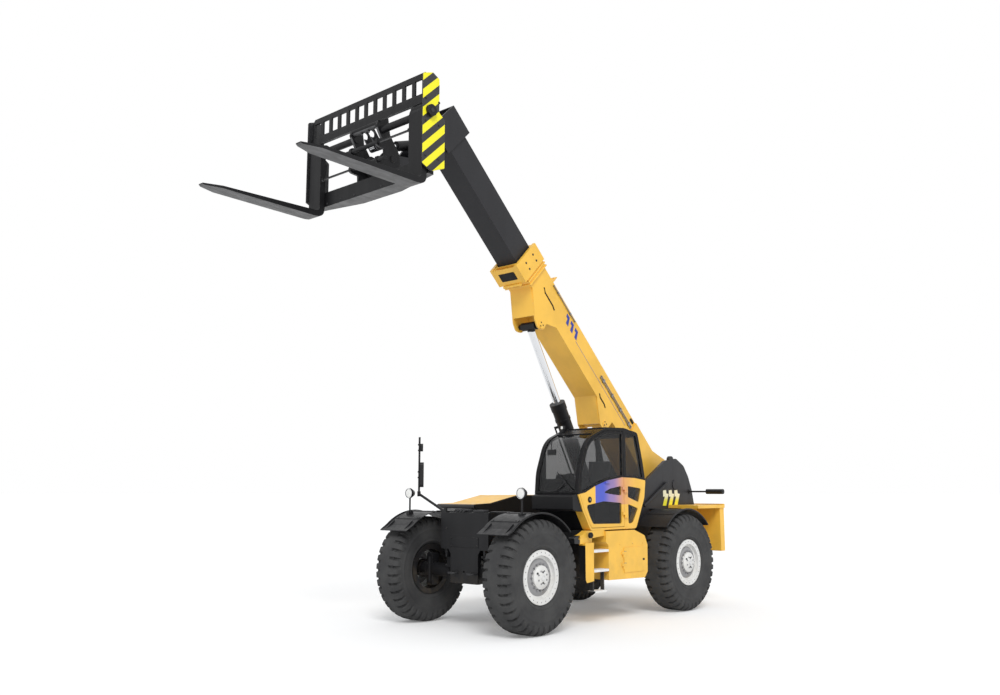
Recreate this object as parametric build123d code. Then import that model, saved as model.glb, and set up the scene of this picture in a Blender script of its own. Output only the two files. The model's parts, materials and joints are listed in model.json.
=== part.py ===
from build123d import *

import os
from math import acos, atan2, cos, degrees, hypot, radians, sin, tan

# Heavy-duty telehandler with a two-section boom, fork carriage and side cab.
# Millimetres, +X front, +Y machine left (cab side), +Z up, wheels on z = 0.
# Positions below are counted from the ground point midway between the axles;
# main() shifts the finished solids so that the origin is midway between tip and tail.

# ---------------------------------------------------------------- dimensions
WHEELBASE = 3867.0
TRACK = 2274.0
TYRE_R = 807.5
TYRE_W = 498.0
RIM_FLANGE_R = 381.0
RIM_BARREL_R = 320.0
RIM_W = 400.0
RIM_T = 18.0
HUB_R = 165.0
DISC_Y = 150.0
SPINDLE_R = 70.0
KINGPIN_Y = 950.0
KINGPIN_R = 38.0
KNUCKLE_R = 62.0
YOKE_HALF_H = 240.0
YOKE_EAR_T = 50.0
AXLE_TUBE_R = 105.0
DIFF_R = 182.0

GAP = 0.3                    # seat gap between faces that bear on each other
PIN_GAP = 0.3                # radial gap of a pin in its eye
MOVE_GAP = 10.0              # gap between pieces that pass each other

RAIL_Y = 420.0               # outer face of the chassis rails
RAIL_T = 40.0
NOSE_X = WHEELBASE / 2 + 189.5
NOSE_HALF_W = 500.0
REAR_X = -WHEELBASE / 2 - 1466.5
DECK_FRONT_X = REAR_X + 920
DECK_Z = 1690.0
BELLY_Z = 620.0
TOW_HOLE_R = 16.0

BOOM_ANGLE = 44.5
PIVOT_X, PIVOT_Z = -2720.0, 2120.0
PIVOT_PIN_R = 75.0
OUTER_W, OUTER_P0, OUTER_P1, OUTER_T = 500.0, -220.0, 280.0, 12.0
OUTER_A0, OUTER_A1 = 300.0, 5200.0
PAD_SPACE = 33.0               # side room for the slide pads between the boom sections
INNER_W, INNER_T = OUTER_W - 2 * (OUTER_T + PAD_SPACE), 10.0
INNER_P0, INNER_P1 = OUTER_P0 + 26, OUTER_P1 - 29
INNER_A0 = 2400.0
RETRACT = 2000.0             # travel of the inner section back from rest
EXTEND = 1500.0              # travel of the inner section out from rest
HEAD_A0, HEAD_A1 = 7390.0, 7880.0
HEAD_P0, HEAD_P1 = -285.0, 360.0
HEAD_W = INNER_W + 50
TAIL_T = 30.0

TOWER_Y0, TOWER_Y1 = 540.0, 600.0

LIFT_PIN_A, LIFT_PIN_P = 4210.0, -490.0
LIFT_BASE_X, LIFT_BASE_Z = -1410.0, 1100.0
LIFT_BARREL_R = 126.0
LIFT_ROD_R = 66.0
LIFT_EYE_R = 70.0
LIFT_PIN_R = 45.0
LIFT_BARREL_L = 2740.0

CARRIAGE_PIN_A, CARRIAGE_PIN_P = 7930.0, -1400.0
CARRIAGE_PIN_R = 50.0
NECK_W = 400.0
NECK_T = 40.0
TILT_BASE_A, TILT_BASE_P = 7500.0, -50.0
TILT_EYE_DIST, TILT_EYE_DIR = 240.0, 25.0
TILT_BARREL_R = 75.0
TILT_ROD_R = 38.0
TILT_EYE_R = 60.0
TILT_PIN_R = 28.0

CARRIAGE_HALF_W = 1285.0
CARRIAGE_X = 3960.0          # rear face of the carriage frame
RIB_Y0, RIB_Y1 = 270.0, 310.0
SHAFT_X, SHAFT_Z, SHAFT_R = 4120.0, 7060.0, 52.0
RAIL_Z0, GRILLE_TOP = 7180.0, 7600.0
BEAM_Z0, BEAM_Z1 = 6200.0, 6420.0
SLOT_COUNT = 12
SIDE_PLATE_T = 20.0

FORK_Y, FORK_W = 1120.0, 270.0
FORK_FACE_X = 4225.0
FORK_T = 90.0
FORK_TIP_X = 6080.0
FORK_Z0 = 6030.0

CAB_Y0, CAB_Y1 = 400.0, 1260.0
CAB_T = 45.0
CAB_FLOOR_Z = 1415.0
DOOR_HINGE_X = -200.0
DOOR_T = 45.0
GLASS_T = 8.0

BOX_Y1 = 1290.0              # outer face of the side box and the engine bay
BOX_T = 6.0
HOOD_HINGE_Y, HOOD_HINGE_Z = -432.0, 1954.0
BOX_HINGE_X, BOX_HINGE_Y = -95.0, BOX_Y1 + 12

FENDER_R, FENDER_T = 890.0, 8.0

X_SHIFT = -(FORK_TIP_X + REAR_X) / 2


# ------------------------------------------------------------------- helpers
def region(points):
    """Flat face inside straight runs; a point's third number rounds its corner."""
    corners = []
    count = len(points)
    for i, point in enumerate(points):
        x, y = point[0], point[1]
        radius = point[2] if len(point) > 2 else 0
        if not radius:
            corners.append(((x, y), None, (x, y)))
            continue
        ax, ay = points[i - 1][0] - x, points[i - 1][1] - y
        bx, by = points[(i + 1) % count][0] - x, points[(i + 1) % count][1] - y
        la, lb = hypot(ax, ay), hypot(bx, by)
        ax, ay, bx, by = ax / la, ay / la, bx / lb, by / lb
        half = acos(ax * bx + ay * by) / 2
        run = radius / tan(half)
        mx, my = ax + bx, ay + by
        ml = hypot(mx, my)
        reach = radius / sin(half) - radius
        middle = (x + mx / ml * reach, y + my / ml * reach)
        corners.append(((x + ax * run, y + ay * run), middle, (x + bx * run, y + by * run)))
    edges = []
    for i, (start, middle, end) in enumerate(corners):
        if middle:
            edges.append(ThreePointArc(start, middle, end))
        follow = corners[(i + 1) % count][0]
        if hypot(follow[0] - end[0], follow[1] - end[1]) > 0.01:
            edges.append(Line(end, follow))
    return make_face(edges)


def xz_plate(points, y0, y1):
    """Plate with an outline in X and Z, from y0 to y1."""
    plane = Plane(origin=(0, y1, 0), x_dir=(1, 0, 0), z_dir=(0, -1, 0))
    return plane * extrude(region(points), amount=y1 - y0)


def yz_plate(points, x0, x1):
    """Plate with an outline in Y and Z, from x0 to x1."""
    plane = Plane(origin=(x0, 0, 0), x_dir=(0, 1, 0), z_dir=(1, 0, 0))
    return plane * extrude(region(points), amount=x1 - x0)


def xy_plate(points, z0, z1):
    """Plate with an outline in X and Y, from z0 to z1."""
    return Pos(0, 0, z0) * extrude(region(points), amount=z1 - z0)


def block(x0, x1, y0, y1, z0, z1):
    centre = ((x0 + x1) / 2, (y0 + y1) / 2, (z0 + z1) / 2)
    return Pos(*centre) * Box(x1 - x0, y1 - y0, z1 - z0)


def rod(start, end, radius):
    """Round bar between two points."""
    axis = Vector(*end) - Vector(*start)
    plane = Plane(origin=start, z_dir=axis)
    return plane * Cylinder(radius, axis.length, align=(Align.CENTER, Align.CENTER, Align.MIN))


def cross_rod(x, z, y0, y1, radius):
    """Round bar along Y."""
    return rod((x, y0, z), (x, y1, z), radius)


def both_sides(solid):
    """The solid and its mirror image on the machine's other side."""
    return solid + mirror(solid, about=Plane.XZ)


def boom_point(a, p):
    """Place in X and Z of a point a along the boom from its pivot and p above its line."""
    angle = radians(BOOM_ANGLE)
    x = PIVOT_X + a * cos(angle) - p * sin(angle)
    z = PIVOT_Z + a * sin(angle) + p * cos(angle)
    return x, z


BOOM = Pos(PIVOT_X, 0, PIVOT_Z) * Rot(0, -BOOM_ANGLE, 0)


def along(x0, z0, x1, z1):
    """Frame at the first point whose X axis points at the second, and their distance."""
    angle = degrees(atan2(z1 - z0, x1 - x0))
    return Pos(x0, 0, z0) * Rot(0, -angle, 0), hypot(x1 - x0, z1 - z0)


def hinge_half(radius, height, reach, rise, fixed, seat=0.0):
    """One half of a hinge on the local Z axis, its plate pointing -X if fixed, else +X.

    The fixed half carries the pin, and the moving half turns round it above the fixed ear.
    The surface that both plates lie on is rise below the axis, on the -Y side; seat lifts
    the moving plate off it.
    """
    thick = rise + 0.4 * radius
    if fixed:
        ear = Pos(0, 0, height / 2) * Cylinder(radius, height)
        pin = Pos(0, 0, height) * Cylinder(radius / 2, 2 * height)
        return ear + pin + block(-reach, 0, -rise, thick - rise, 0, height)
    low = height + GAP
    sleeve = Pos(0, 0, low + height / 2) * Cylinder(radius, height)
    sleeve += block(0, reach, seat - rise, thick - rise, low, low + height)
    return sleeve - Pos(0, 0, height) * Cylinder(radius / 2 + PIN_GAP, 4 * height)


# -------------------------------------------------------------------- wheels
def tyre():
    """Earthmover tyre about the Y axis, outer side towards +Y."""
    bead_y = RIM_W / 2 - RIM_T - GAP
    half = TYRE_W / 2
    side = [
        (RIM_BARREL_R + GAP, bead_y),
        (RIM_FLANGE_R + 6, bead_y),
        (RIM_FLANGE_R + 40, half - 18, 20),
        (570, half, 150),
        (TYRE_R - 62, half - 6, 60),
        (TYRE_R, half - 75, 60),
    ]
    mirrored = [(p[0], -p[1], *p[2:]) for p in reversed(side)]
    return revolve(region(side + mirrored), axis=Axis.Y)


def rim():
    """Wheel rim with dished disc and planetary hub, outer side towards +Y."""
    half = RIM_W / 2
    barrel = [
        (RIM_BARREL_R - RIM_T, -half),
        (RIM_FLANGE_R, -half),
        (RIM_FLANGE_R, -half + RIM_T),
        (RIM_BARREL_R, -half + RIM_T),
        (RIM_BARREL_R, half - RIM_T),
        (RIM_FLANGE_R, half - RIM_T),
        (RIM_FLANGE_R, half),
        (RIM_BARREL_R - RIM_T, half),
    ]
    disc = [
        (HUB_R - 30, DISC_Y),
        (HUB_R + 40, DISC_Y),
        (RIM_BARREL_R - RIM_T - 40, DISC_Y - 28),
        (RIM_BARREL_R - RIM_T, DISC_Y - 28),
        (RIM_BARREL_R - RIM_T, DISC_Y - 4),
        (RIM_BARREL_R - RIM_T - 36, DISC_Y - 4),
        (HUB_R + 44, DISC_Y + 24),
        (HUB_R - 30, DISC_Y + 24),
    ]
    hub_in = KINGPIN_Y - TRACK / 2 + 130
    hub = [
        (SPINDLE_R + PIN_GAP, hub_in),
        (HUB_R - 30, hub_in),
        (HUB_R - 30, DISC_Y + 24),
        (HUB_R, DISC_Y + 24),
        (HUB_R, DISC_Y + 52),
        (HUB_R - 45, DISC_Y + 72),
        (60, DISC_Y + 80),
        (0, DISC_Y + 80),
        (0, 40),
        (SPINDLE_R + PIN_GAP, 40),
    ]
    return (revolve(region(barrel), axis=Axis.Y) + revolve(region(disc), axis=Axis.Y)
            + revolve(region(hub), axis=Axis.Y))


def knuckle():
    """Steering knuckle with kingpins and spindle, about the axle centre, left side."""
    post = Pos(0, KINGPIN_Y, 0) * Cylinder(KNUCKLE_R, 2 * (YOKE_HALF_H - YOKE_EAR_T - GAP))
    pins = Pos(0, KINGPIN_Y, 0) * Cylinder(KINGPIN_R, 2 * YOKE_HALF_H + 30)
    hub_in = KINGPIN_Y + 130 - 2
    flange = rod((0, KINGPIN_Y, 0), (0, hub_in, 0), 118)
    spindle = rod((0, KINGPIN_Y, 0), (0, TRACK / 2 + 35, 0), SPINDLE_R)
    arm = block(-230, 0, KINGPIN_Y + 4, KINGPIN_Y + 70, -95, -55)
    return post + pins + flange + spindle + arm


def axle():
    """Steered drive axle: differential, tubes and yokes for the knuckles."""
    yoke_y0 = KINGPIN_Y - 110
    diff = cross_rod(0, 0, -110, 110, DIFF_R)
    tubes = rod((0, -yoke_y0 - 5, 0), (0, yoke_y0 + 5, 0), AXLE_TUBE_R)
    taper = loft([Plane(origin=(0, 110, 0), z_dir=(0, 1, 0)) * Circle(DIFF_R),
                  Plane(origin=(0, 430, 0), z_dir=(0, 1, 0)) * Circle(AXLE_TUBE_R)])
    yoke = xz_plate([(-72, -YOKE_HALF_H, 30), (72, -YOKE_HALF_H, 30),
                     (72, YOKE_HALF_H, 30), (-72, YOKE_HALF_H, 30)], yoke_y0, yoke_y0 + 40)
    ear_z = YOKE_HALF_H - YOKE_EAR_T / 2
    for z in (-ear_z, ear_z):
        ear = block(-60, 60, yoke_y0, KINGPIN_Y, z - YOKE_EAR_T / 2, z + YOKE_EAR_T / 2)
        ear += Pos(0, KINGPIN_Y, z) * Cylinder(60, YOKE_EAR_T)
        yoke += ear
    yoke -= Pos(0, KINGPIN_Y, 0) * Cylinder(KINGPIN_R + PIN_GAP, 3 * YOKE_HALF_H)
    pads = both_sides(block(-130, 130, RAIL_Y - 90, RAIL_Y + 30, 60, AXLE_TUBE_R + 105))
    return diff + tubes + both_sides(taper) + both_sides(yoke) + pads


def wheel_nodes():
    """Tyres, rims and knuckles at the four corners, and the two axles."""
    nodes = {}
    corners = [  # name, sign of x, sign of y
        ("front_left", 1, 1),
        ("front_right", 1, -1),
        ("rear_left", -1, 1),
        ("rear_right", -1, -1),
    ]
    for name, sx, sy in corners:
        x = sx * WHEELBASE / 2
        turn = Rot(0, 0, 0) if sy > 0 else Rot(0, 0, 180)
        hub_place = Pos(x, sy * TRACK / 2, TYRE_R) * turn
        nodes["tyre_" + name] = hub_place * tyre()
        nodes["rim_" + name] = hub_place * rim()
        side = knuckle() if sx < 0 else mirror(knuckle(), about=Plane.YZ)
        if sy < 0:
            side = mirror(side, about=Plane.XZ)
        nodes["knuckle_" + name] = Pos(x, 0, TYRE_R) * side
    for name, sx in (("front", 1), ("rear", -1)):
        nodes["axle_" + name] = Pos(sx * WHEELBASE / 2, 0, TYRE_R) * axle()
    return nodes


# ------------------------------------------------------------------- chassis
def chassis_frame():
    """Two deep side rails joined by cross members, with the nose plate."""
    half = WHEELBASE / 2
    over_axle = TYRE_R + AXLE_TUBE_R + 105 + GAP
    outline = [
        (NOSE_X, DECK_Z), (NOSE_X, over_axle), (half - 160, over_axle),
        (half - 400, BELLY_Z, 60),
        (-half + 480, BELLY_Z, 60), (-half + 160, over_axle), (-half - 160, over_axle),
        (-half - 400, 900), (REAR_X + 178, 900), (REAR_X + 178, 1500),
        (-1500, 1500, 120), (-900, 1180, 200), (half - 600, 1180, 200), (half - 150, DECK_Z),
    ]
    rails = both_sides(xz_plate(outline, RAIL_Y - RAIL_T, RAIL_Y))
    inner = RAIL_Y - RAIL_T
    nose = yz_plate([(-NOSE_HALF_W, DECK_Z), (-NOSE_HALF_W, 1145, 20), (-335, 1145, 20),
                     (-287, 1070, 20), (-287, 650, 20), (287, 650, 20), (287, 1070, 20),
                     (335, 1145, 20), (NOSE_HALF_W, 1145, 20), (NOSE_HALF_W, DECK_Z)],
                    NOSE_X, NOSE_X + 20)
    nose -= rod((NOSE_X - 5, 0, 820), (NOSE_X + 25, 0, 820), TOW_HOLE_R)
    nose += both_sides(xz_plate([(NOSE_X - 90, 1180), (NOSE_X - 90, 1030), (NOSE_X, 760),
                                 (NOSE_X, 1180)], 250, 268))
    deck = block(half - 100, NOSE_X, -inner, inner, DECK_Z - 12, DECK_Z)
    front_cross = block(half - 330, half - 290, -inner, inner, 640, 1150)
    rear_cross = block(-half - 330, -half - 290, -inner, inner, 1030, 1480)
    belly = block(-half + 700, half - 500, -inner, inner, BELLY_Z, BELLY_Z + 20)
    lift_ears = both_sides(xz_plate(
        [(LIFT_BASE_X - 200, BELLY_Z + 60), (LIFT_BASE_X + 300, BELLY_Z + 60),
         (LIFT_BASE_X + 120, LIFT_BASE_Z + 120, 60), (LIFT_BASE_X - 120, LIFT_BASE_Z + 120, 60)],
        170, 210))
    ear_floor = block(LIFT_BASE_X - 150, LIFT_BASE_X + 260, -inner, inner,
                      BELLY_Z + 20, BELLY_Z + 60)
    lift_pin = cross_rod(LIFT_BASE_X, LIFT_BASE_Z, -230, 230, LIFT_PIN_R)
    return (rails + nose + deck + front_cross + rear_cross + belly + lift_ears
            + ear_floor + lift_pin)


def boom_tower():
    """Two plates behind the cab that carry the boom pivot."""
    outline = [
        (-1010, 1770), (-1804, 2207), (-2416, 2551), (-2775, 2600, 120), (-3030, 2470, 160),
        (-3180, 2270, 160), (-3290, 2030, 300), (REAR_X + 35, 1744), (REAR_X + 35, 1700 + GAP),
        (REAR_X + 178, 1700 + GAP), (REAR_X + 178, 1400), (-1010, 1400),
    ]
    plates = both_sides(xz_plate(outline, TOWER_Y0, TOWER_Y1))
    plates -= cross_rod(PIVOT_X, PIVOT_Z, -900, 900, PIVOT_PIN_R + PIN_GAP)
    web = both_sides(block(-3150, -1010, RAIL_Y + GAP, TOWER_Y0, 1400, 1440))
    lug = both_sides(cross_rod(-2622, 2570, TOWER_Y0, TOWER_Y1, 70))
    prop = rod((-2421, TOWER_Y1 + 34, 2161), (-1675, TOWER_Y1 + 34, 1746), 20)
    for x, z in ((-2380, 2138), (-1720, 1771)):
        prop += Pos(x, 0, z) * Rot(0, 29, 0) * block(-25, 25, TOWER_Y1 - 5, TOWER_Y1 + 40, -26, 26)
    return plates + web + lug + prop


def boom_pivot_pin():
    """Pin through the tower plates and the boom's tail, with end caps."""
    pin = cross_rod(PIVOT_X, PIVOT_Z, -TOWER_Y1 - 12, TOWER_Y1 + 12, PIVOT_PIN_R)
    caps = both_sides(cross_rod(PIVOT_X, PIVOT_Z, TOWER_Y1 + GAP, TOWER_Y1 + 12,
                                PIVOT_PIN_R + 14))
    return pin + caps


def counterweight():
    """Cast weight across the rear, its side plates and the deck over the wheels."""
    wall = block(REAR_X, REAR_X + 140, -1200, 1200, 930, 1700)
    deck = block(REAR_X, DECK_FRONT_X, -1220, 1220, 1700, 1755)
    deck -= block(REAR_X + 34, -1900, -TOWER_Y1 - GAP, TOWER_Y1 + GAP, 1650, 1800)
    lip = block(REAR_X, REAR_X + 34, -1220, 1220, 1700, 1775)
    side = both_sides(xz_plate(
        [(REAR_X + 140, 1700), (REAR_X + 140, 930), (REAR_X + 460, 930), (REAR_X + 550, 1560, 60),
         (REAR_X + 700, 1640), (REAR_X + 700, 1700)], 700, 720))
    core = block(REAR_X + 140, REAR_X + 840, -370, 370, 930, 1490)
    ties = both_sides(block(REAR_X + 500, REAR_X + 600, TOWER_Y1 + GAP, 705, 1560, 1700))
    return wall + deck + lip + side + core + ties


def engine_block():
    return block(-700, 700, -1180, -620, 800, 1500)


HOOD_TOP = [  # x, z, corner radius of the hood's roof line seen from the side
    (-1000, 1940, 90), (470, 1940, 160), (1120, 1815, 60), (1500, 1800, 40), (1500, 1735, 15),
    (1010, 1600 + GAP, 60),
]
HOOD_HINGES = (-800.0, -100.0, 380.0)


def hood_hinge(x):
    """Hinge frame along X on top of the hood's inner edge, the fixed side inwards."""
    return Plane(origin=(x, HOOD_HINGE_Y, HOOD_HINGE_Z), x_dir=(0, -1, 0), z_dir=(-1, 0, 0))


def engine_bay():
    """Open-topped housing for the engine, with the fixed inner wall that carries the hood."""
    x0, x1 = -1000.0, 1000.0
    y0, y1 = -BOX_Y1, -RAIL_Y - GAP
    shell = xz_plate([(x0, 1600), (x0, 760, 60), (x0 + 60, 700, 40), (x1, 700, 40), (x1, 1600)],
                     y0, y1)
    shell -= block(x0 + BOX_T, x1 - BOX_T, y0 + BOX_T, y1 - BOX_T, 700 + BOX_T, 1700)
    for x in (-700, -350, 0, 350, 700):
        shell -= xz_plate(window(x - 120, x + 120, 1180, 1420, 30), y0 - 5, y0 + BOX_T + 5)
        for z in (1215, 1265, 1315, 1365):
            shell += block(x - 122, x + 122, y0, y0 + BOX_T, z, z + 24)
    wall = [(x0, 1590), (x0, 1925, 80), (465, 1925, 150), (1115, 1800, 60), (1480, 1788, 20),
            (1480, 1745, 10), (1000, 1612, 40), (1000, 1590)]
    shell += xz_plate(wall, y1 - 10, y1)
    beds = block(-650, 650, -1150, -1090, 700 + BOX_T, 800)
    beds += block(-650, 650, -710, -650, 700 + BOX_T, 800)
    for x in HOOD_HINGES:
        shell += hood_hinge(x) * hinge_half(12, 45, 14, 14, True)
        shell += block(x - 45, x, y1 - 10, y1, 1900, HOOD_HINGE_Z - 9)
    return shell + beds


def engine_hood():
    """Lid over the engine: roof, sloping front, outer side and both ends."""
    y0, y1 = -BOX_Y1, -RAIL_Y - 16
    shell = xz_plate([(-1000, 1600 + GAP), *HOOD_TOP], y0, y1)
    hollow = [(-975, 1500), (985, 1500), (1100, 1700), (1120, 1785), (465, 1910), (-975, 1910)]
    shell -= xz_plate(hollow, y0 + 25, y1 + 5)
    for x in HOOD_HINGES:
        shell += hood_hinge(x) * hinge_half(12, 45, 60, 14, False)
    return shell


# ------------------------------------------------------------------ left side
def side_box():
    """Tank and battery box below the cab, open behind its door, with the cab's mounts on top."""
    outline = [(340, 1395), (-420, 1395, 20), (-700, 1300, 40), (-776, 1150, 30), (-768, 725, 30),
               (-685, 635, 20), (280, 655), (280, 1175), (340, 1230)]
    shell = xz_plate(outline, RAIL_Y + GAP, BOX_Y1)
    for x, y in ((-360, 520), (-360, 1140), (200, 520), (200, 1140)):
        shell += Pos(x, y, (1390 + CAB_FLOOR_Z - GAP) / 2) * Cylinder(45, CAB_FLOOR_Z - GAP - 1390)
    shell -= block(-640, -150, 900, BOX_Y1 + 5, 770, 1100)
    for z in BOX_HINGE_ROWS:
        shell += box_hinge(z) * hinge_half(11, 45, 40, 12, True)
    return shell


BOX_HINGE_ROWS = (890.0, 1070.0)


def box_hinge(z):
    """Hinge frame on the box's face, the fixed side towards the front."""
    return Plane(origin=(BOX_HINGE_X, BOX_HINGE_Y, z), x_dir=(-1, 0, 0), z_dir=(0, 0, -1))


def side_box_door():
    """Flat access door with its hinge sleeves and a recessed latch."""
    door = xz_plate([(-690, 745, 25), (-115, 745, 10), (-115, 1130, 10), (-690, 1130, 25)],
                    BOX_Y1 + GAP, BOX_Y1 + 12)
    door -= block(-672, -618, BOX_Y1 + 4, BOX_Y1 + 20, 910, 945)
    for z in BOX_HINGE_ROWS:
        door += box_hinge(z) * hinge_half(11, 45, 40, 12, False, GAP)
    return door


def ladder():
    """Upright with two treads, a hanging lower step, and the bracket below the cab's front."""
    y1 = BOX_Y1 + 10
    post = xz_plate([(662, 1235), (872, 1235), (872, 700, 30), (845, 650, 20), (672, 668, 15)],
                    y1 - 8, y1)
    post += block(662, 670, 1130, y1 - 4, 668, 1235) + block(864, 872, 1180, y1 - 4, 700, 1235)
    shelf = xz_plate([(662, 1205), (1080, 1235), (1090, 1330, 30), (900, CAB_FLOOR_Z - 60, 40),
                      (760, CAB_FLOOR_Z - GAP), (340 + GAP, CAB_FLOOR_Z - GAP), (340 + GAP, 1330),
                      (662, 1300)], 1150, 1262)
    shelf -= cross_rod(965, 1315, 1100, 1400, 26)
    web = block(640, 672, RAIL_Y + GAP, 1160, 1230, CAB_FLOOR_Z - GAP)
    treads = block(280 + GAP, 664, 1130, y1 - 6, 1088, 1120)
    treads += block(280 + GAP, 664, 1130, y1 - 6, 795, 827)
    straps = block(350, 372, 1190, 1250, 512, 800) + block(612, 634, 1190, 1250, 512, 800)
    step = block(345, 640, 1150, y1 - 6, 492, 514)
    grip = block(662, 690, 1131, 1260, 760, 800)
    return post + shelf + web + treads + straps + step + grip


# ----------------------------------------------------------------------- cab
CAB_OUTLINE = [  # x, z, corner radius of the cab seen from its side
    (680, CAB_FLOOR_Z, 80),
    (860, 1700, 200),
    (985, 1970, 60),
    (955, 2300, 700),
    (760, 2800, 420),
    (300, 2985, 500),
    (-300, 3000, 200),
    (-600, 2955, 90),
    (-730, 2490, 300),
    (-800, 2160, 200),
    (-760, 1900, 200),
    (-515, CAB_FLOOR_Z, 80),
]
BELT = [(1100, 1940), (800, 1985), (566, 2080), (249, 2170), (-161, 2225), (-498, 2218), (-900, 2170)]
HINGE_Y = CAB_Y1 + 20
HINGE_ROWS = (1590.0, 1985.0)    # height of each hinge's lower end
HINGE_R, HINGE_H = 17.0, 45.0
SIDE_PANES = [  # outlines of the left side's lower panes, with corner radii
    [(353, 1985, 12), (172, 2048, 60), (-128, 2090, 25), (-128, 1940, 25), (90, 1955, 60)],
    [(783, 1795, 35), (337, 1853, 300), (-128, 1822, 30), (-128, 1500, 35), (618, 1512, 60),
     (700, 1630, 60)],
    [(-302, 2088, 20), (-672, 2050, 30), (-595, 1828, 20), (-302, 1912, 20)],
    [(-305, 1806, 20), (-579, 1730, 25), (-440, 1520, 40), (-345, 1492, 25), (-305, 1510, 15)],
]
REAR_PANES = 2               # how many of them sit behind the hinge pillar
DOOR_GAP = 8.0


def cab_solid(inset, y0, y1):
    """The cab's closed outline, moved in by inset, between two planes in Y."""
    face = region(CAB_OUTLINE)
    if inset:
        face = offset(face, amount=-inset)
    plane = Plane(origin=(0, y1, 0), x_dir=(1, 0, 0), z_dir=(0, -1, 0))
    return plane * extrude(face, amount=y1 - y0)


def belt_side(rise, y0, y1):
    """Everything above the belt line, moved up by rise, where paint turns to glass frame."""
    line = [(x, z + rise, 300 if 0 < i < len(BELT) - 1 else 0) for i, (x, z) in enumerate(BELT)]
    return xz_plate([(1100, 3200), *line, (-900, 3200)], y0, y1)


def door_zone(inset, y0, y1):
    """The door opening, or a smaller outline inside it."""
    zone = cab_solid(CAB_T - 12 + inset, y0, y1)
    return zone & block(DOOR_HINGE_X + inset, 2000, 0, 2000, 1000, 4000)


def cab_hinge(z, fixed):
    return Pos(DOOR_HINGE_X, HINGE_Y, z) * hinge_half(HINGE_R, HINGE_H, 68, 20, fixed)


def cab_walls():
    """Hollow cab with its door opening and windows cut, before it is split."""
    shell = cab_solid(0, CAB_Y0, CAB_Y1)
    shell -= cab_solid(CAB_T, CAB_Y0 + CAB_T, CAB_Y1 - CAB_T)
    shell -= door_zone(0, CAB_Y1 - CAB_T - 5, CAB_Y1 + 5)
    shell -= right_window_zone(CAB_Y0 - 5, CAB_Y0 + CAB_T + 5)
    shell -= side_glass_zone(0)
    for outline in SIDE_PANES[-REAR_PANES:]:
        shell -= xz_plate(outline, CAB_Y1 - CAB_T - 5, CAB_Y1 + 5)
    shell -= block(500, 1200, CAB_Y0 + 70, CAB_Y1 - 60, 2005, 2905)
    shell -= block(-900, -560, CAB_Y0 + 70, CAB_Y1 - 70, 2250, 2880)
    return shell


def right_window_zone(y0, y1):
    """Window in the right wall, inside the cab's outline."""
    return xz_plate(window(-600, 760, 2000, 2880, 90), y0, y1) & cab_solid(70, y0, y1)


def side_glass_zone(inset):
    """Upper rear side window on the left."""
    zone = cab_solid(70 + inset, CAB_Y1 - CAB_T - 5, CAB_Y1 + 5)
    zone &= block(-900, DOOR_HINGE_X - 60 - inset, 0, 2000, 1000, 4000)
    return zone & belt_side(35 + inset, 0, 2000)


def cab_shell():
    """Painted lower half of the cab: floor, sills and the wall up to the belt line."""
    lower = cab_walls() - belt_side(0, 0, 2000)
    for z in HINGE_ROWS:
        lower += cab_hinge(z, True)
    return lower


def cab_frame():
    """Pillars, roof and window surrounds above the belt line."""
    upper = cab_walls() & belt_side(GAP, 0, 2000)
    lip = cab_solid(0, CAB_Y0 + 60, CAB_Y1 - 60) & block(-420, 250, 0, 2000, 2962, 3100)
    return upper + Pos(0, 0, 22) * lip


def cab_cowl():
    """Box below the windscreen with the wiper motor inside."""
    profile = [(860, 1700), (1090, 1725, 25), (1100, 1940, 25), (1010, 1962, 15), (900, 1962)]
    solid = xz_plate(profile, CAB_Y0 + 40, CAB_Y1 - 15)
    return solid - cab_solid(-GAP, 0, 2000)


def window(x0, x1, z0, z1, radius=60):
    """Outline of a window with round corners."""
    return [(x0, z0, radius), (x1, z0, radius), (x1, z1, radius), (x0, z1, radius)]


def cab_glass():
    """Panes of the windscreen, right side, rear and left quarter."""
    skin = cab_solid(12, CAB_Y0, CAB_Y1) - cab_solid(12 + GLASS_T, CAB_Y0 - 5, CAB_Y1 + 5)
    screen = skin & block(500, 1200, CAB_Y0 + 70, CAB_Y1 - 60, 2005, 2905)
    rear = skin & block(-900, -560, CAB_Y0 + 70, CAB_Y1 - 70, 2250, 2880)
    right = right_window_zone(CAB_Y0 + 12, CAB_Y0 + 12 + GLASS_T)
    y0 = CAB_Y1 - 20
    quarter = side_glass_zone(0) & block(-900, 900, y0, y0 + GLASS_T, 1000, 4000)
    low = [xz_plate(outline, y0, y0 + GLASS_T) for outline in SIDE_PANES[-REAR_PANES:]]
    return Compound(children=[screen, rear, right, quarter, *low])


def door_panes(y0, y1):
    """Prisms of the door's panes between two planes in Y."""
    top = door_zone(48, y0, y1) & belt_side(35, 0, 2000)
    low = [xz_plate(outline, y0, y1) for outline in SIDE_PANES[:-REAR_PANES]]
    return [top, *low]


def cab_door():
    """Door with its painted lower half and glass frame in one piece."""
    door = door_zone(DOOR_GAP, CAB_Y1 - DOOR_T, CAB_Y1)
    for pane in door_panes(CAB_Y1 - DOOR_T - 5, CAB_Y1 + 5):
        door -= pane
    door -= belt_side(0, CAB_Y1 - 4, CAB_Y1 + 5) - belt_side(6, CAB_Y1 - 9, CAB_Y1 + 9)
    for z in HINGE_ROWS:
        door += cab_hinge(z, False)
    handle = block(190, 310, CAB_Y1 - 2, CAB_Y1 + 26, 2128, 2152)
    handle -= block(215, 285, CAB_Y1, CAB_Y1 + 14, 2100, 2200)
    return door + handle


def cab_door_glass():
    return Compound(children=door_panes(CAB_Y1 - 24, CAB_Y1 - 24 + GLASS_T))


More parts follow.
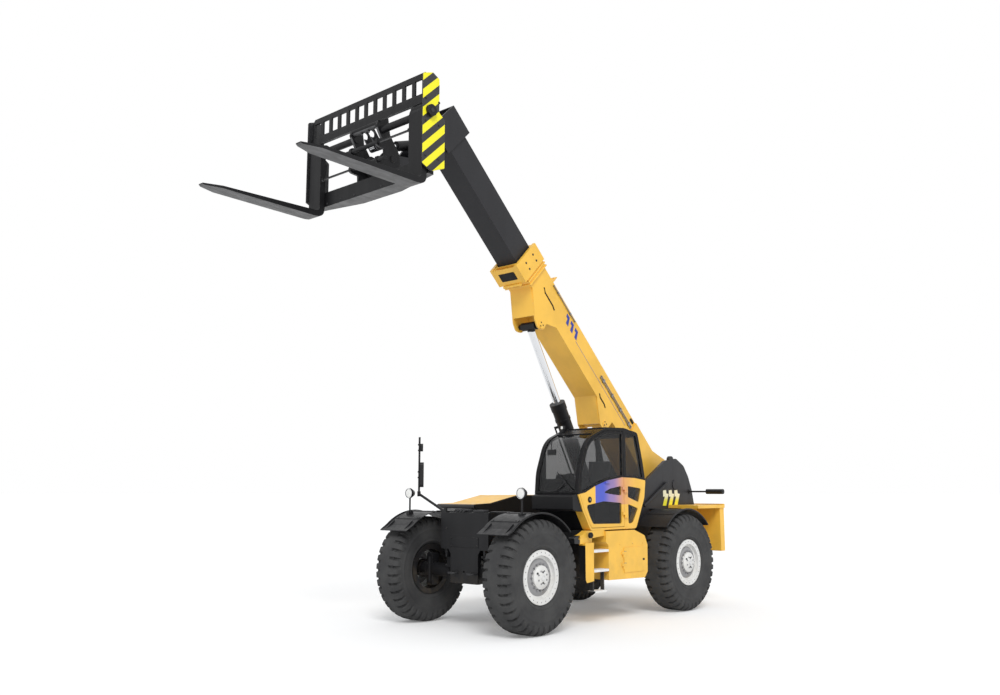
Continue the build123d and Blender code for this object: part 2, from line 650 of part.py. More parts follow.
def seat():
    """Operator's seat: cushion and back."""
    y0, y1 = 580, 1080
    profile = [(300, 1880, 40), (300, 2000, 50), (-100, 1990, 30), (-180, 2560, 45),
               (-290, 2560, 45), (-260, 1880, 40)]
    return xz_plate(profile, y0, y1)


def seat_base():
    return block(-180, 200, 680, 980, CAB_FLOOR_Z + CAB_T + GAP, 1880 - GAP)


def steering_console():
    """Column, dashboard and steering wheel."""
    floor_z = CAB_FLOOR_Z + CAB_T + GAP
    dash = xz_plate([(480, floor_z), (590, floor_z), (760, 1880), (740, 1960), (580, 1960)],
                    600, 1060)
    column = rod((620, 830, 1850), (464, 830, 2203), 28)
    wheel = Pos(465, 830, 2200) * Rot(0, -21, 0) * Torus(190, 16)
    spokes = Pos(465, 830, 2200) * Rot(0, -21, 0) * Box(380, 40, 14)
    return dash + column + wheel + spokes


# ---------------------------------------------------------------------- boom
def outer_boom():
    """Box section with its tail plates and the two cylinder brackets."""
    half = OUTER_W / 2
    tube = block(OUTER_A0, OUTER_A1, -half, half, OUTER_P0, OUTER_P1)
    tube -= block(OUTER_A0 + OUTER_T, OUTER_A1 + 5, -half + OUTER_T, half - OUTER_T,
                  OUTER_P0 + OUTER_T, OUTER_P1 - OUTER_T)
    tail = both_sides(xz_plate(
        [(1300, OUTER_P0), (1300, OUTER_P1), (600, OUTER_P1), (135, 480, 120),
         (-120, 400, 160), (-260, 60, 200), (-200, -240, 160), (300, -300, 100)],
        half, half + TAIL_T))
    tail -= cross_rod(0, 0, -900, 900, PIVOT_PIN_R + PIN_GAP)
    pin_a, pin_p = LIFT_PIN_A, LIFT_PIN_P
    lift = both_sides(xz_plate(
        [(4793, OUTER_P0 + 20), (pin_a + 150, pin_p - 60, 60), (pin_a + 10, pin_p - 108, 90),
         (pin_a - 108, pin_p - 10, 70), (pin_a - 70, pin_p + 110, 40), (3900, OUTER_P0 + 20)],
        half - 24, half))
    lift -= both_sides(slot(4520, -205, 4760, -60, 14, half - 5, half + 5))
    cover = xz_plate([(4793, OUTER_P0), (4773, OUTER_P0), (4400, -490), (4416, -502)],
                     -half + 24, half - 24)
    ears = both_sides(cross_rod(LIFT_PIN_A, LIFT_PIN_P, half - 24, half + 12, 66))
    low = both_sides(xz_plate(
        [(2420, OUTER_P0 + 20), (2000, -500, 60), (1880, -515, 60), (1800, -380, 60),
         (1780, OUTER_P0 + 20)], half - 24, half))
    low_cover = xz_plate([(2420, OUTER_P0), (2400, OUTER_P0), (1990, -490), (2010, -500)],
                         -half + 24, half - 24)
    low -= both_sides(slot(2020, -190, 2260, -60, 14, half - 5, half + 5))
    low_pin = cross_rod(1912, -400, -half - 12, half + 12, 45)
    low_pin += both_sides(cross_rod(1912, -400, half - 24, half + 6, 62))
    tab = block(4512, 4528, 130, 250, OUTER_P1 - 5, OUTER_P1 + 140)
    tab -= rod((4500, 190, OUTER_P1 + 100), (4540, 190, OUTER_P1 + 100), 16)
    tab += block(4440, 4600, 182, 194, OUTER_P1 - 5, OUTER_P1 + 60)
    return BOOM * (tube + tail + lift + cover + ears + low + low_cover + low_pin + tab)


def slot(a0, p0, a1, p1, width, y0, y1):
    """Rounded groove between two points of the boom's side, from y0 to y1."""
    run, rise = a1 - a0, p1 - p0
    length = hypot(run, rise)
    nx, np_ = -rise / length * width / 2, run / length * width / 2
    corner = width / 2 - 0.5
    return xz_plate([(a0 - nx, p0 - np_, corner), (a1 - nx, p1 - np_, corner),
                     (a1 + nx, p1 + np_, corner), (a0 + nx, p0 + np_, corner)], y0, y1)


def boom_pipes():
    """Rigid oil pipes clipped along the left face of the outer section."""
    y = OUTER_W / 2 + 16
    runs = [  # a of both ends, p of the pipe, radius
        (1350, 2560, 92, 8),
        (1350, 2560, 128, 8),
        (3700, 4470, 236, 9),
    ]
    solid = block(1420, 1454, OUTER_W / 2 + GAP, y + 11, 74, 146)
    for a0, a1, p, radius in runs:
        pipe = rod((a0, y, p), (a1, y, p), radius)
        for a in (a0, a1):
            pipe += rod((a, OUTER_W / 2 + GAP, p), (a, y + radius + 3, p), radius + 4)
        solid += pipe
    for a, p0, p1 in ((1760, 74, 146), (2100, 74, 146), (2440, 74, 146),
                      (3850, 220, 252), (4300, 220, 252)):
        solid += block(a, a + 34, OUTER_W / 2 + GAP, y + 11, p0, p1)
    return BOOM * solid


def boom_collar():
    """Stiffening collar round the mouth of the outer section."""
    half = OUTER_W / 2
    ring = block(4960, 5270, -half - 45, half + 45, OUTER_P0 - 110, OUTER_P1 + 45)
    ring += block(4900, 4925, -half - 35, half + 35, OUTER_P0 - 40, OUTER_P1 + 35)
    ring += block(4840, 4865, -half - 35, half + 35, OUTER_P0 - 40, OUTER_P1 + 35)
    ring += block(4840, 4960, -half - 20, half + 20, OUTER_P0 - 20, OUTER_P1 + 20)
    ring -= block(4800, OUTER_A1 + GAP, -half - GAP, half + GAP, OUTER_P0 - GAP, OUTER_P1 + GAP)
    ring -= block(OUTER_A1, 5300, -INNER_W / 2 - 20, INNER_W / 2 + 20,
                  INNER_P0 - 14, INNER_P1 + 12)
    low = OUTER_P0 - 110
    ring -= block(5090, 5300, -200, 200, low + 14, OUTER_P0 - 14)
    nose = both_sides(block(5270, 5290, half - 10, half + 45, low, OUTER_P1 + 45))
    hook = both_sides(block(4930, 4960, 120, 150, OUTER_P0 - 150, OUTER_P0 - 20))
    bar = cross_rod(4945, OUTER_P0 - 130, -190, 190, 22)
    return BOOM * (ring + nose + hook + bar)


def slide_pads(a0, a1, outward):
    """Pads that fill the gap between the boom's two sections."""
    wide_in, wide_out = INNER_W / 2, OUTER_W / 2 - OUTER_T
    low_in, low_out = INNER_P0, OUTER_P0 + OUTER_T
    top_in, top_out = INNER_P1, OUTER_P1 - OUTER_T
    if outward:
        wide_out, low_out, top_out = wide_out - GAP, low_out + GAP, top_out - GAP
    else:
        wide_in, low_in, top_in = wide_in + GAP, low_in - GAP, top_in + GAP
    side = both_sides(block(a0, a1, wide_in, wide_out, -120, 180))
    low = block(a0, a1, -150, 150, low_out, low_in)
    top = block(a0, a1, -150, 150, top_in, top_out)
    solids = side.solids() + low.solids() + top.solids()
    return BOOM * Compound(children=solids)


def inner_boom():
    half = INNER_W / 2
    tube = block(INNER_A0, HEAD_A0, -half, half, INNER_P0, INNER_P1)
    tube -= block(INNER_A0 - 5, HEAD_A0 + 5, -half + INNER_T, half - INNER_T,
                  INNER_P0 + INNER_T, INNER_P1 - INNER_T)
    return BOOM * tube


def boom_head():
    """Head box and the drop neck that carries the fork carriage."""
    half = HEAD_W / 2
    neck_out = NECK_W / 2
    q_a, q_p = CARRIAGE_PIN_A, CARRIAGE_PIN_P
    cap = block(HEAD_A0, HEAD_A1, -half, half, HEAD_P0, HEAD_P1)
    cap -= block(HEAD_A0 + 20, HEAD_A1 + 5, -half + 30, half - 30, HEAD_P0 - 5, HEAD_P1 - 20)
    cap -= block(HEAD_A0 - 5, HEAD_A0 + 25, -120, 120, -120, 180)
    neck = both_sides(xz_plate(
        [(HEAD_A0 + 20, HEAD_P0 + 100), (HEAD_A1, HEAD_P0 + 100), (HEAD_A1 - 60, -500, 100),
         (q_a - 190, -1000, 150), (q_a - 20, q_p + 190, 60), (q_a + 130, q_p + 90, 60),
         (q_a + 130, q_p - 100, 90), (q_a - 100, q_p - 130, 90), (7560, -1050, 200),
         (HEAD_A0 + 20, -400, 150)],
        neck_out - NECK_T, neck_out))
    neck -= cross_rod(q_a, q_p, -900, 900, CARRIAGE_PIN_R + PIN_GAP)
    web = xz_plate([(HEAD_A0 + 20, -300), (HEAD_A0 + 40, -300), (HEAD_A0 + 45, -420),
                    (7590, -1000), (7570, -1000), (HEAD_A0 + 20, -420)],
                   -neck_out + NECK_T, neck_out - NECK_T)
    pin = cross_rod(TILT_BASE_A, TILT_BASE_P, -half + 20, half - 20, TILT_PIN_R)
    return BOOM * (cap + neck + web + pin)


# ------------------------------------------------------------ lift cylinder
def lift_frame():
    """Frame along the lift cylinder from its base pin, and its length at rest."""
    return along(LIFT_BASE_X, LIFT_BASE_Z, *boom_point(LIFT_PIN_A, LIFT_PIN_P))


def lift_barrel():
    frame, _ = lift_frame()
    body = rod((150, 0, 0), (LIFT_BARREL_L, 0, 0), LIFT_BARREL_R)
    gland = rod((LIFT_BARREL_L - 130, 0, 0), (LIFT_BARREL_L, 0, 0), LIFT_BARREL_R + 9)
    gland += rod((LIFT_BARREL_L - 330, 0, 0), (LIFT_BARREL_L - 290, 0, 0), LIFT_BARREL_R + 9)
    port = rod((LIFT_BARREL_L - 420, 0, 0), (LIFT_BARREL_L - 420, -150, -95), 22)
    feed = rod((500, -150, -95), (LIFT_BARREL_L - 400, -150, -95), 14)
    feed += rod((520, 0, 0), (520, -150, -95), 18)
    eye = cross_rod(0, 0, -160, 160, 120) + block(0, 200, -110, 110, -100, 100)
    body = body + gland + eye + port + feed
    body -= cross_rod(0, 0, -300, 300, LIFT_PIN_R + PIN_GAP)
    body -= rod((260, 0, 0), (LIFT_BARREL_L + 5, 0, 0), LIFT_ROD_R + PIN_GAP)
    return frame * body


def lift_rod():
    """Rod with its eye and the middle of its pin, free of the bracket's ears."""
    frame, length = lift_frame()
    half = OUTER_W / 2 - 24 - 12
    shaft = rod((LIFT_BARREL_L - 1120, 0, 0), (length - LIFT_EYE_R + 20, 0, 0), LIFT_ROD_R)
    eye = cross_rod(length, 0, -150, 150, LIFT_EYE_R)
    pin = cross_rod(length, 0, -half, half, LIFT_PIN_R)
    return frame * (shaft + eye + pin)


# ------------------------------------------------------------ tilt cylinder
def tilt_eye():
    """Place of the tilt cylinder's rod eye in the boom's own frame."""
    angle = radians(TILT_EYE_DIR)
    return (CARRIAGE_PIN_A + TILT_EYE_DIST * cos(angle),
            CARRIAGE_PIN_P + TILT_EYE_DIST * sin(angle))


def tilt_frame():
    return along(*boom_point(TILT_BASE_A, TILT_BASE_P), *boom_point(*tilt_eye()))


def tilt_barrel():
    frame, length = tilt_frame()
    barrel_l = length - 420
    body = rod((70, 0, 0), (barrel_l, 0, 0), TILT_BARREL_R)
    body += cross_rod(0, 0, -60, 60, TILT_EYE_R) + block(0, 90, -55, 55, -50, 50)
    body -= cross_rod(0, 0, -200, 200, TILT_PIN_R + PIN_GAP)
    body -= rod((120, 0, 0), (barrel_l + 5, 0, 0), TILT_ROD_R + PIN_GAP)
    return frame * body


def tilt_rod():
    frame, length = tilt_frame()
    shaft = rod((450, 0, 0), (length - TILT_EYE_R + 20, 0, 0), TILT_ROD_R)
    eye = cross_rod(length, 0, -50, 50, TILT_EYE_R)
    return frame * (shaft + eye)


# ------------------------------------------------------------- fork carriage
POSITIONER_X, POSITIONER_Z = 4185.0, (6860.0, 6600.0)
POSITIONER_R, POSITIONER_ROD_R = 32.0, 16.0


def fork_positioners():
    """Two barrels across the carriage, each open at the end where its fork's rod enters."""
    solids = []
    for sign, z in ((1, POSITIONER_Z[0]), (-1, POSITIONER_Z[1])):
        barrel = cross_rod(POSITIONER_X, z, -450, 330, POSITIONER_R)
        barrel -= cross_rod(POSITIONER_X, z, -430, 340, POSITIONER_ROD_R + PIN_GAP)
        for y in (-350, 240):
            barrel += rod((POSITIONER_X, y, z), (POSITIONER_X, y, z + POSITIONER_R + 14), 11)
            barrel -= cross_rod(POSITIONER_X, z, -430, 340, POSITIONER_ROD_R + PIN_GAP)
        solids.append(barrel if sign > 0 else mirror(barrel, about=Plane.XZ))
    return Compound(children=solids)


def fork_carriage():
    """Welded frame: side plates, lower beam, hitch ribs and the rail above."""
    x0 = CARRIAGE_X
    q_x, q_z = boom_point(CARRIAGE_PIN_A, CARRIAGE_PIN_P)
    t_x, t_z = boom_point(*tilt_eye())
    y_in = CARRIAGE_HALF_W - SIDE_PLATE_T
    side = both_sides(xz_plate(
        [(x0 + 20, 6300, 30), (x0 + 130, 6235), (4230, 6300, 30), (4230, 7250), (4200, 7300),
         (x0 + 60, 7300), (x0 + 60, 7010), (x0 - 60, 6980)], y_in, CARRIAGE_HALF_W))
    rail = block(4150, 4200, -y_in, y_in, RAIL_Z0, RAIL_Z0 + 90)
    beam = block(4020, 4120, -y_in, y_in, BEAM_Z0, BEAM_Z1)
    floor = xy_plate([(x0 + 60, -y_in), (4120, -y_in), (4120, y_in), (x0 + 60, y_in),
                      (x0 - 120, 420), (x0 - 120, -420)], BEAM_Z0, BEAM_Z0 + 25)
    rib = xz_plate(
        [(4200, RAIL_Z0 + 90), (4200, RAIL_Z0), (4230, 7100, 60), (4080, 6850, 120),
         (4060, BEAM_Z0), (x0 - 100, BEAM_Z0), (q_x - 130, q_z - 60, 80),
         (q_x - 120, q_z + 90, 80), (x0 + 20, 7020, 80), (x0 + 60, RAIL_Z0 + 90)],
        RIB_Y0, RIB_Y1)
    for z in POSITIONER_Z:
        rib += xz_plate([(4020, z - 75), (4190, z - 58, 25), (4222, z - 45, 25),
                         (4222, z + 45, 25), (4190, z + 58, 25), (4020, z + 75)],
                        RIB_Y0, RIB_Y1)
        rib -= cross_rod(POSITIONER_X, z, 0, 1000, POSITIONER_R + PIN_GAP)
    ribs = both_sides(rib)
    bridge = cross_rod(4160, 7150, -RIB_Y0, RIB_Y0, 50)
    lugs = both_sides(xz_plate(
        [(t_x - 60, t_z - 40, 40), (t_x + 10, t_z - 60, 40), (4190, 7080, 20),
         (4190, 7190, 20), (4120, 7180, 20), (t_x - 60, t_z + 60, 40)], 60, 88))
    pin = cross_rod(q_x, q_z, -RIB_Y1 - 15, RIB_Y1 + 15, CARRIAGE_PIN_R)
    frame = side + rail + beam + floor + ribs + bridge + lugs + pin
    return frame - cross_rod(SHAFT_X, SHAFT_Z, -2000, 2000, SHAFT_R + PIN_GAP)


def load_backrest():
    """Grille above the rail with a row of upright slots."""
    y_in = CARRIAGE_HALF_W - SIDE_PLATE_T - GAP
    z0 = RAIL_Z0 + 90 + GAP
    grille = yz_plate([(-y_in, z0), (y_in, z0), (y_in, GRILLE_TOP), (-y_in + 60, GRILLE_TOP),
                       (-y_in, GRILLE_TOP - 60)], 4160, 4190)
    pitch = (2 * y_in - 60) / SLOT_COUNT
    for i in range(SLOT_COUNT):
        y = -y_in + 60 + pitch * i
        grille -= block(4100, 4250, y, y + pitch - 60, z0 + 40, GRILLE_TOP - 80)
    return grille


def hazard_plate(sign):
    """Striped guard plate outside the carriage's end."""
    x0 = CARRIAGE_X
    outline = [(x0 - 110, 6320, 20), (x0 + 130, 6225), (4255, 6300), (4255, 7560, 40),
               (4075, 7620, 40), (x0 - 5, 7560, 20), (x0 - 5, 7080), (x0 - 110, 7010, 20)]
    y0 = CARRIAGE_HALF_W + GAP
    plate = xz_plate(outline, y0, y0 + 12)
    plate -= cross_rod(SHAFT_X, SHAFT_Z, 0, 2000, SHAFT_R + PIN_GAP)
    return plate if sign > 0 else mirror(plate, about=Plane.XZ)


def fork_shaft():
    """Round half shafts on which the forks hang, with a boss at each outer end."""
    end = CARRIAGE_HALF_W + 60
    shaft = cross_rod(SHAFT_X, SHAFT_Z, RIB_Y0 - 10, end, SHAFT_R)
    boss = cross_rod(SHAFT_X, SHAFT_Z, CARRIAGE_HALF_W + 13 + GAP, end, 80)
    return both_sides(shaft + boss)


def fork(sign):
    """Fork arm hung on the shaft: eye, shank, rounded heel and tapered blade."""
    face = FORK_FACE_X
    top = FORK_Z0 + FORK_T
    profile = [
        (face - FORK_T, SHAFT_Z), (face - FORK_T, FORK_Z0 + 20, 110), (face + 60, FORK_Z0, 400),
        (FORK_TIP_X - 30, top - 28), (FORK_TIP_X, top - 12), (FORK_TIP_X, top),
        (face, top, 45), (face, SHAFT_Z),
    ]
    arm = xz_plate(profile, -FORK_W / 2, FORK_W / 2)
    arm += cross_rod(SHAFT_X, SHAFT_Z, -FORK_W / 2, FORK_W / 2, 100)
    arm += xz_plate([(4040, 7010), (4040, 7100, 20), (4090, 7158, 20), (face - 12, 7158, 30),
                     (face - 12, 7010)], -FORK_W / 2 + 20, FORK_W / 2 - 20)
    tip = xy_plate([(face - 300, -FORK_W), (FORK_TIP_X - 260, -FORK_W), (FORK_TIP_X - 260, -FORK_W / 2),
                    (FORK_TIP_X, -50), (FORK_TIP_X, 50), (FORK_TIP_X - 260, FORK_W / 2),
                    (FORK_TIP_X - 260, FORK_W), (face - 300, FORK_W)], 5000, 8000)
    arm &= tip
    arm -= cross_rod(SHAFT_X, SHAFT_Z, -900, 900, SHAFT_R + PIN_GAP)
    z = POSITIONER_Z[0] if sign > 0 else POSITIONER_Z[1]
    inner = -sign * FORK_W / 2
    arm += cross_rod(POSITIONER_X, z, inner, inner - sign * 890, POSITIONER_ROD_R)
    arm += cross_rod(POSITIONER_X, z, inner, inner - sign * 40, POSITIONER_ROD_R + 14)
    return Pos(0, sign * FORK_Y, 0) * arm


def fender(front):
    """Curved sheet over the left wheel of an axle, about the axle's centre, with its arm."""
    y0, y1 = 740.0, 1350.0
    sheet = cross_rod(0, 0, y0, y1, FENDER_R) - cross_rod(0, 0, y0 - 5, y1 + 5, FENDER_R - FENDER_T)
    lip = cross_rod(0, 0, y1 - 10, y1, FENDER_R + 12)
    lip -= cross_rod(0, 0, y1 - 15, y1 + 5, FENDER_R - FENDER_T)
    sheet += lip
    if not front:
        arm = block(-60, 60, TOWER_Y1 + GAP, y0 + 30, 862, 1700 - TYRE_R - GAP)
        return (sheet & block(-900, 900, 0, 2000, 605, 1000)) + arm
    sheet &= block(-900, 580, 0, 2000, 605, 1000)
    sheet += xz_plate([(572, 667), (704, 599), (704, 608), (576, 680)], y0, y1)
    for y in (y0 + 90, y1 - 100):
        sheet += xz_plate([(500, 700), (590, 670), (680, 620), (590, 690), (500, 760)], y, y + 12)
    arm = block(-60, 60, RAIL_Y - RAIL_T, y0 + 30, DECK_Z + GAP - TYRE_R, FENDER_R + 12)
    return sheet + arm


def fender_nodes():
    """The four fenders in their places."""
    nodes = {}
    for name, sx in (("front", 1), ("rear", -1)):
        left = Pos(sx * WHEELBASE / 2, 0, TYRE_R) * fender(sx > 0)
        nodes["fender_" + name + "_left"] = left
        nodes["fender_" + name + "_right"] = mirror(left, about=Plane.XZ)
    return nodes


def headlights():
    """Round lamps on stems that stand on the front fenders."""
    solids = []
    for x, y, z in ((2129, 1150, 1980), (2208, -1150, 1975)):
        case = Pos(0, 0, -31) * Cone(48, 80, 62) + Pos(0, 0, 18) * Cylinder(80, 36)
        case -= Pos(0, 0, 34) * Cylinder(70, 12)
        case = Plane(origin=(x, y, z), z_dir=(1, 0, 0)) * case
        stem = rod((x, y, z - 60), (x, y, 1650), 14)
        foot = block(x - 45, x + 45, y - 32, y + 32, 1640, 1700)
        cut = cross_rod(WHEELBASE / 2, TYRE_R, y - 100, y + 100, FENDER_R + GAP)
        solids.append(case + stem + foot - cut)
    return Compound(children=solids)


def front_mirror():
    """Mast with a wide and a small mirror on the nose's right corner."""
    x, y, top = NOSE_X - 18, -1055.0, 2860.0
    foot = block(NOSE_X - 53, NOSE_X + 17, -500, -390, DECK_Z + GAP, DECK_Z + 20)
    arm = rod((x, -470, DECK_Z + 12), (x, y, 1965), 20)
    pole = rod((x, y, 1930), (x, y, top), 16) + rod((x, y, 1925), (x, y, 2005), 27)
    arm += rod((x, -445, DECK_Z + 5), (x, -445, DECK_Z + 60), 30)
    wide = yz_plate(window(-110, 110, -195, 195, 45), -30, 30)
    wide -= yz_plate(window(-97, 97, -182, 182, 35), 24, 40)
    small = yz_plate(window(-75, 75, -60, 60, 30), -22, 22)
    small -= yz_plate(window(-65, 65, -50, 50, 22), 17, 30)
    face = Rot(0, 0, 138.7)
    head = Pos(x, y, 2265) * face * Pos(40, 20, 0) * wide
    head += Pos(x, y, 2695) * face * Pos(34, 10, 0) * small
    return foot + arm + pole + head


def rear_mirror():
    """Bar with a round-bodied mirror that reaches out from the left tower plate."""
    x, z, y0 = -3200.0, 1996.0, TOWER_Y1 + GAP
    bar = cross_rod(x, z, y0, 1320, 15) + cross_rod(x, z, y0, y0 + 12, 42)
    head = cross_rod(x, z, 975, 1315, 46) - block(x - 60, x - 24, 985, 1305, z - 60, z + 60)
    return bar + head


def work_light():
    """Small square lamp on the cab roof's front corner."""
    case = xz_plate(window(322, 378, 3000, 3056, 10), CAB_Y0 + 34, CAB_Y0 + 90)
    case -= block(372, 390, CAB_Y0 + 40, CAB_Y0 + 84, 3006, 3050)
    case += Pos(350, CAB_Y0 + 62, 2980) * Cylinder(12, 60)
    case += block(325, 375, CAB_Y0 + 45, CAB_Y0 + 79, 2930, 2992)
    return case - cab_solid(-GAP, 0, 2000)


# --------------------------------------------------------------------- build
def build():
    nodes = wheel_nodes()
    nodes["chassis_frame"] = chassis_frame()
    nodes["boom_tower"] = boom_tower()
    nodes["boom_pivot_pin"] = boom_pivot_pin()
    nodes["counterweight"] = counterweight()
    nodes["engine_block"] = engine_block()
    nodes["engine_bay"] = engine_bay()
    nodes["engine_hood"] = engine_hood()
    nodes["side_box"] = side_box()
    nodes["side_box_door"] = side_box_door()
    nodes["ladder"] = ladder()
    nodes["cab_shell"] = cab_shell()
    nodes["cab_frame"] = cab_frame()
    nodes["cab_cowl"] = cab_cowl()
    nodes["cab_glass"] = cab_glass()
    nodes["cab_door"] = cab_door()
    nodes["cab_door_glass"] = cab_door_glass()
    nodes["seat"] = seat()
    nodes["seat_base"] = seat_base()
    nodes["steering_console"] = steering_console()
    nodes["outer_boom"] = outer_boom()
    nodes["boom_collar"] = boom_collar()
    nodes["boom_pipes"] = boom_pipes()
    nodes["slide_pads_front"] = slide_pads(5040, 5190, False)
    nodes["slide_pads_rear"] = slide_pads(INNER_A0 + 20, INNER_A0 + 170, True)
    nodes["inner_boom"] = inner_boom()
    nodes["boom_head"] = boom_head()
    nodes["lift_barrel"] = lift_barrel()
    nodes["lift_rod"] = lift_rod()
    nodes["tilt_barrel"] = tilt_barrel()
    nodes["tilt_rod"] = tilt_rod()
    nodes["fork_carriage"] = fork_carriage()
    nodes["load_backrest"] = load_backrest()
    nodes["hazard_plate_left"] = hazard_plate(1)
    nodes["hazard_plate_right"] = hazard_plate(-1)
    nodes["fork_shaft"] = fork_shaft()
    nodes["fork_positioners"] = fork_positioners()
    nodes["fork_left"] = fork(1)
    nodes["fork_right"] = fork(-1)
    nodes.update(fender_nodes())
    nodes["headlights"] = headlights()
    nodes["front_mirror"] = front_mirror()
    nodes["rear_mirror"] = rear_mirror()
    nodes["work_light"] = work_light()
    return nodes


def main():
    os.makedirs("parts", exist_ok=True)
    for name, solid in build().items():
        export_step(Pos(X_SHIFT, 0, 0) * solid, "parts/" + name + ".step")


if __name__ == "__main__":
    main()
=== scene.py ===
import json
import math
from functools import partialmethod

import bmesh
import bpy
from mathutils import Matrix, Vector

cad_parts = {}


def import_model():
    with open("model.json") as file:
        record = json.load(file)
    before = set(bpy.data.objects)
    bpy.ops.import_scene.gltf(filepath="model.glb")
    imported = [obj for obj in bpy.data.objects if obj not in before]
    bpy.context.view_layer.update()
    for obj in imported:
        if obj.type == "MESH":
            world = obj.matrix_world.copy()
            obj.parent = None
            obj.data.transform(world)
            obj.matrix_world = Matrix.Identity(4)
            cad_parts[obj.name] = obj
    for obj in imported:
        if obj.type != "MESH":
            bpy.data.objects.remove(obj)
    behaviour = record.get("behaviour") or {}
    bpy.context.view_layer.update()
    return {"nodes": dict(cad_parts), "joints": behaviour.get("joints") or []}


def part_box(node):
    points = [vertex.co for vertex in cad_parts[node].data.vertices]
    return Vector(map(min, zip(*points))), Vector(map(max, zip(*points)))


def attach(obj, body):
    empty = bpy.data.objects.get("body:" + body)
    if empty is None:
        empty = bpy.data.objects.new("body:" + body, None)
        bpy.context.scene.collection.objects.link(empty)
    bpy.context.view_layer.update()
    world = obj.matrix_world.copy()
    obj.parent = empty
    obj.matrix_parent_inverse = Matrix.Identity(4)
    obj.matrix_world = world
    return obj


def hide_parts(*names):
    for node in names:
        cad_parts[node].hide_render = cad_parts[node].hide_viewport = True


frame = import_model()
NODES = frame["nodes"]
JOINTS = {j["name"]: j for j in frame["joints"]}
CORNERS = ("front_left", "front_right", "rear_left", "rear_right")

# The boom's own frame: a runs along it from the pivot, p is square to it, upwards.
PIVOT = Vector(JOINTS["boom_lift"]["pos_m"])
ALONG = Vector(JOINTS["boom_extend"]["axis"]).normalized()
RAISE = Vector((-ALONG.z, 0, ALONG.x))
BOOM_HALF = 0.25
LIFT_EYE = (4.21, -0.49)  # a and p of the lift rod's pin
ROD_EYE_R = 0.10
SLASH_PITCH = 0.155

# Planes that the trim sits on, in metres.
NOSE_X, TAIL_X = 0.803, -4.740
REAR_LAMP_Z = 1.52
DECAL_T = 0.0012


def boom_at(a, p, y):
    return PIVOT + ALONG * a + RAISE * p + Vector((0, y, 0))


# ---- node helpers
class Mat:
    """A material with short calls for its nodes."""

    def __init__(self, name):
        self.mat = bpy.data.materials.new(name)
        self.mat.use_nodes = True
        self.tree = self.mat.node_tree
        self.bsdf = self.tree.nodes["Principled BSDF"]
        self.coords = self.new("TexCoord").outputs["Object"]
        self.xyz = None

    def new(self, kind):
        return self.tree.nodes.new("ShaderNode" + kind)

    def link(self, value, socket):
        if isinstance(value, bpy.types.NodeSocket):
            self.tree.links.new(value, socket)
        else:
            socket.default_value = value

    def math(self, op, a, b=0.0, c=None, clamp=False):
        node = self.new("Math")
        node.operation = op
        node.use_clamp = clamp
        self.link(a, node.inputs[0])
        self.link(b, node.inputs[1])
        if c is not None:
            self.link(c, node.inputs[2])
        return node.outputs[0]

    add = partialmethod(math, "ADD")
    sub = partialmethod(math, "SUBTRACT")
    mul = partialmethod(math, "MULTIPLY")
    gt = partialmethod(math, "GREATER_THAN")
    lt = partialmethod(math, "LESS_THAN")
    either = partialmethod(math, "MAXIMUM")

    def mix(self, factor, a, b):
        node = self.new("Mix")
        node.data_type = "RGBA"
        self.link(factor, node.inputs["Factor"])
        self.link(rgba(a), node.inputs[6])
        self.link(rgba(b), node.inputs[7])
        return node.outputs[2]

    def ramp(self, value, low, high, out_low=0.0, out_high=1.0):
        node = self.new("MapRange")
        node.interpolation_type = "SMOOTHSTEP"
        self.link(value, node.inputs["Value"])
        for name, number in (("From Min", low), ("From Max", high),
                             ("To Min", out_low), ("To Max", out_high)):
            self.link(number, node.inputs[name])
        return node.outputs["Result"]

    def noise(self, scale, detail=3.0, rough=0.5, stretch=None):
        node = self.new("TexNoise")
        node.inputs["Scale"].default_value = scale
        node.inputs["Detail"].default_value = detail
        node.inputs["Roughness"].default_value = rough
        source = self.coords
        if stretch:
            place = self.new("Mapping")
            place.inputs["Scale"].default_value = stretch
            self.link(source, place.inputs["Vector"])
            source = place.outputs["Vector"]
        self.link(source, node.inputs["Vector"])
        return node.outputs[0]

    def axis(self, i):
        if self.xyz is None:
            self.xyz = self.new("SeparateXYZ")
            self.link(self.coords, self.xyz.inputs[0])
        return self.xyz.outputs[i]

    def normal_axis(self, i):
        geo = self.new("TexCoord")
        split = self.new("SeparateXYZ")
        self.link(geo.outputs["Normal"], split.inputs[0])
        return split.outputs[i]

    def bevel(self, radius, samples=4):
        node = self.new("Bevel")
        node.samples = samples
        node.inputs["Radius"].default_value = radius
        return node.outputs[0]

    def edge(self, rounded):
        """How near a surface point is to an edge, from the rounded normal's turn."""
        true = self.new("NewGeometry").outputs["Normal"]
        dot = self.new("VectorMath")
        dot.operation = "DOT_PRODUCT"
        self.link(rounded, dot.inputs[0])
        self.link(true, dot.inputs[1])
        return self.ramp(dot.outputs["Value"], 0.97, 0.80)

    def bump(self, height, strength, distance, normal=None):
        node = self.new("Bump")
        node.inputs["Strength"].default_value = strength
        node.inputs["Distance"].default_value = distance
        self.link(height, node.inputs["Height"])
        if normal is not None:
            self.link(normal, node.inputs["Normal"])
        return node.outputs[0]

    def set(self, **values):
        for name, value in values.items():
            self.link(rgba(value) if name.endswith("_Color") else value,
                      self.bsdf.inputs[name.replace("_", " ")])
        return self.mat


def rgba(value):
    if isinstance(value, tuple) and len(value) == 3:
        return (*value, 1.0)
    return value


def srgb(r, g, b):
    """Linear colour of an 8-bit sRGB one."""
    return tuple(c / 12.92 if c <= 0.04045 else ((c + 0.055) / 1.055) ** 2.4
                 for c in (r / 255, g / 255, b / 255))


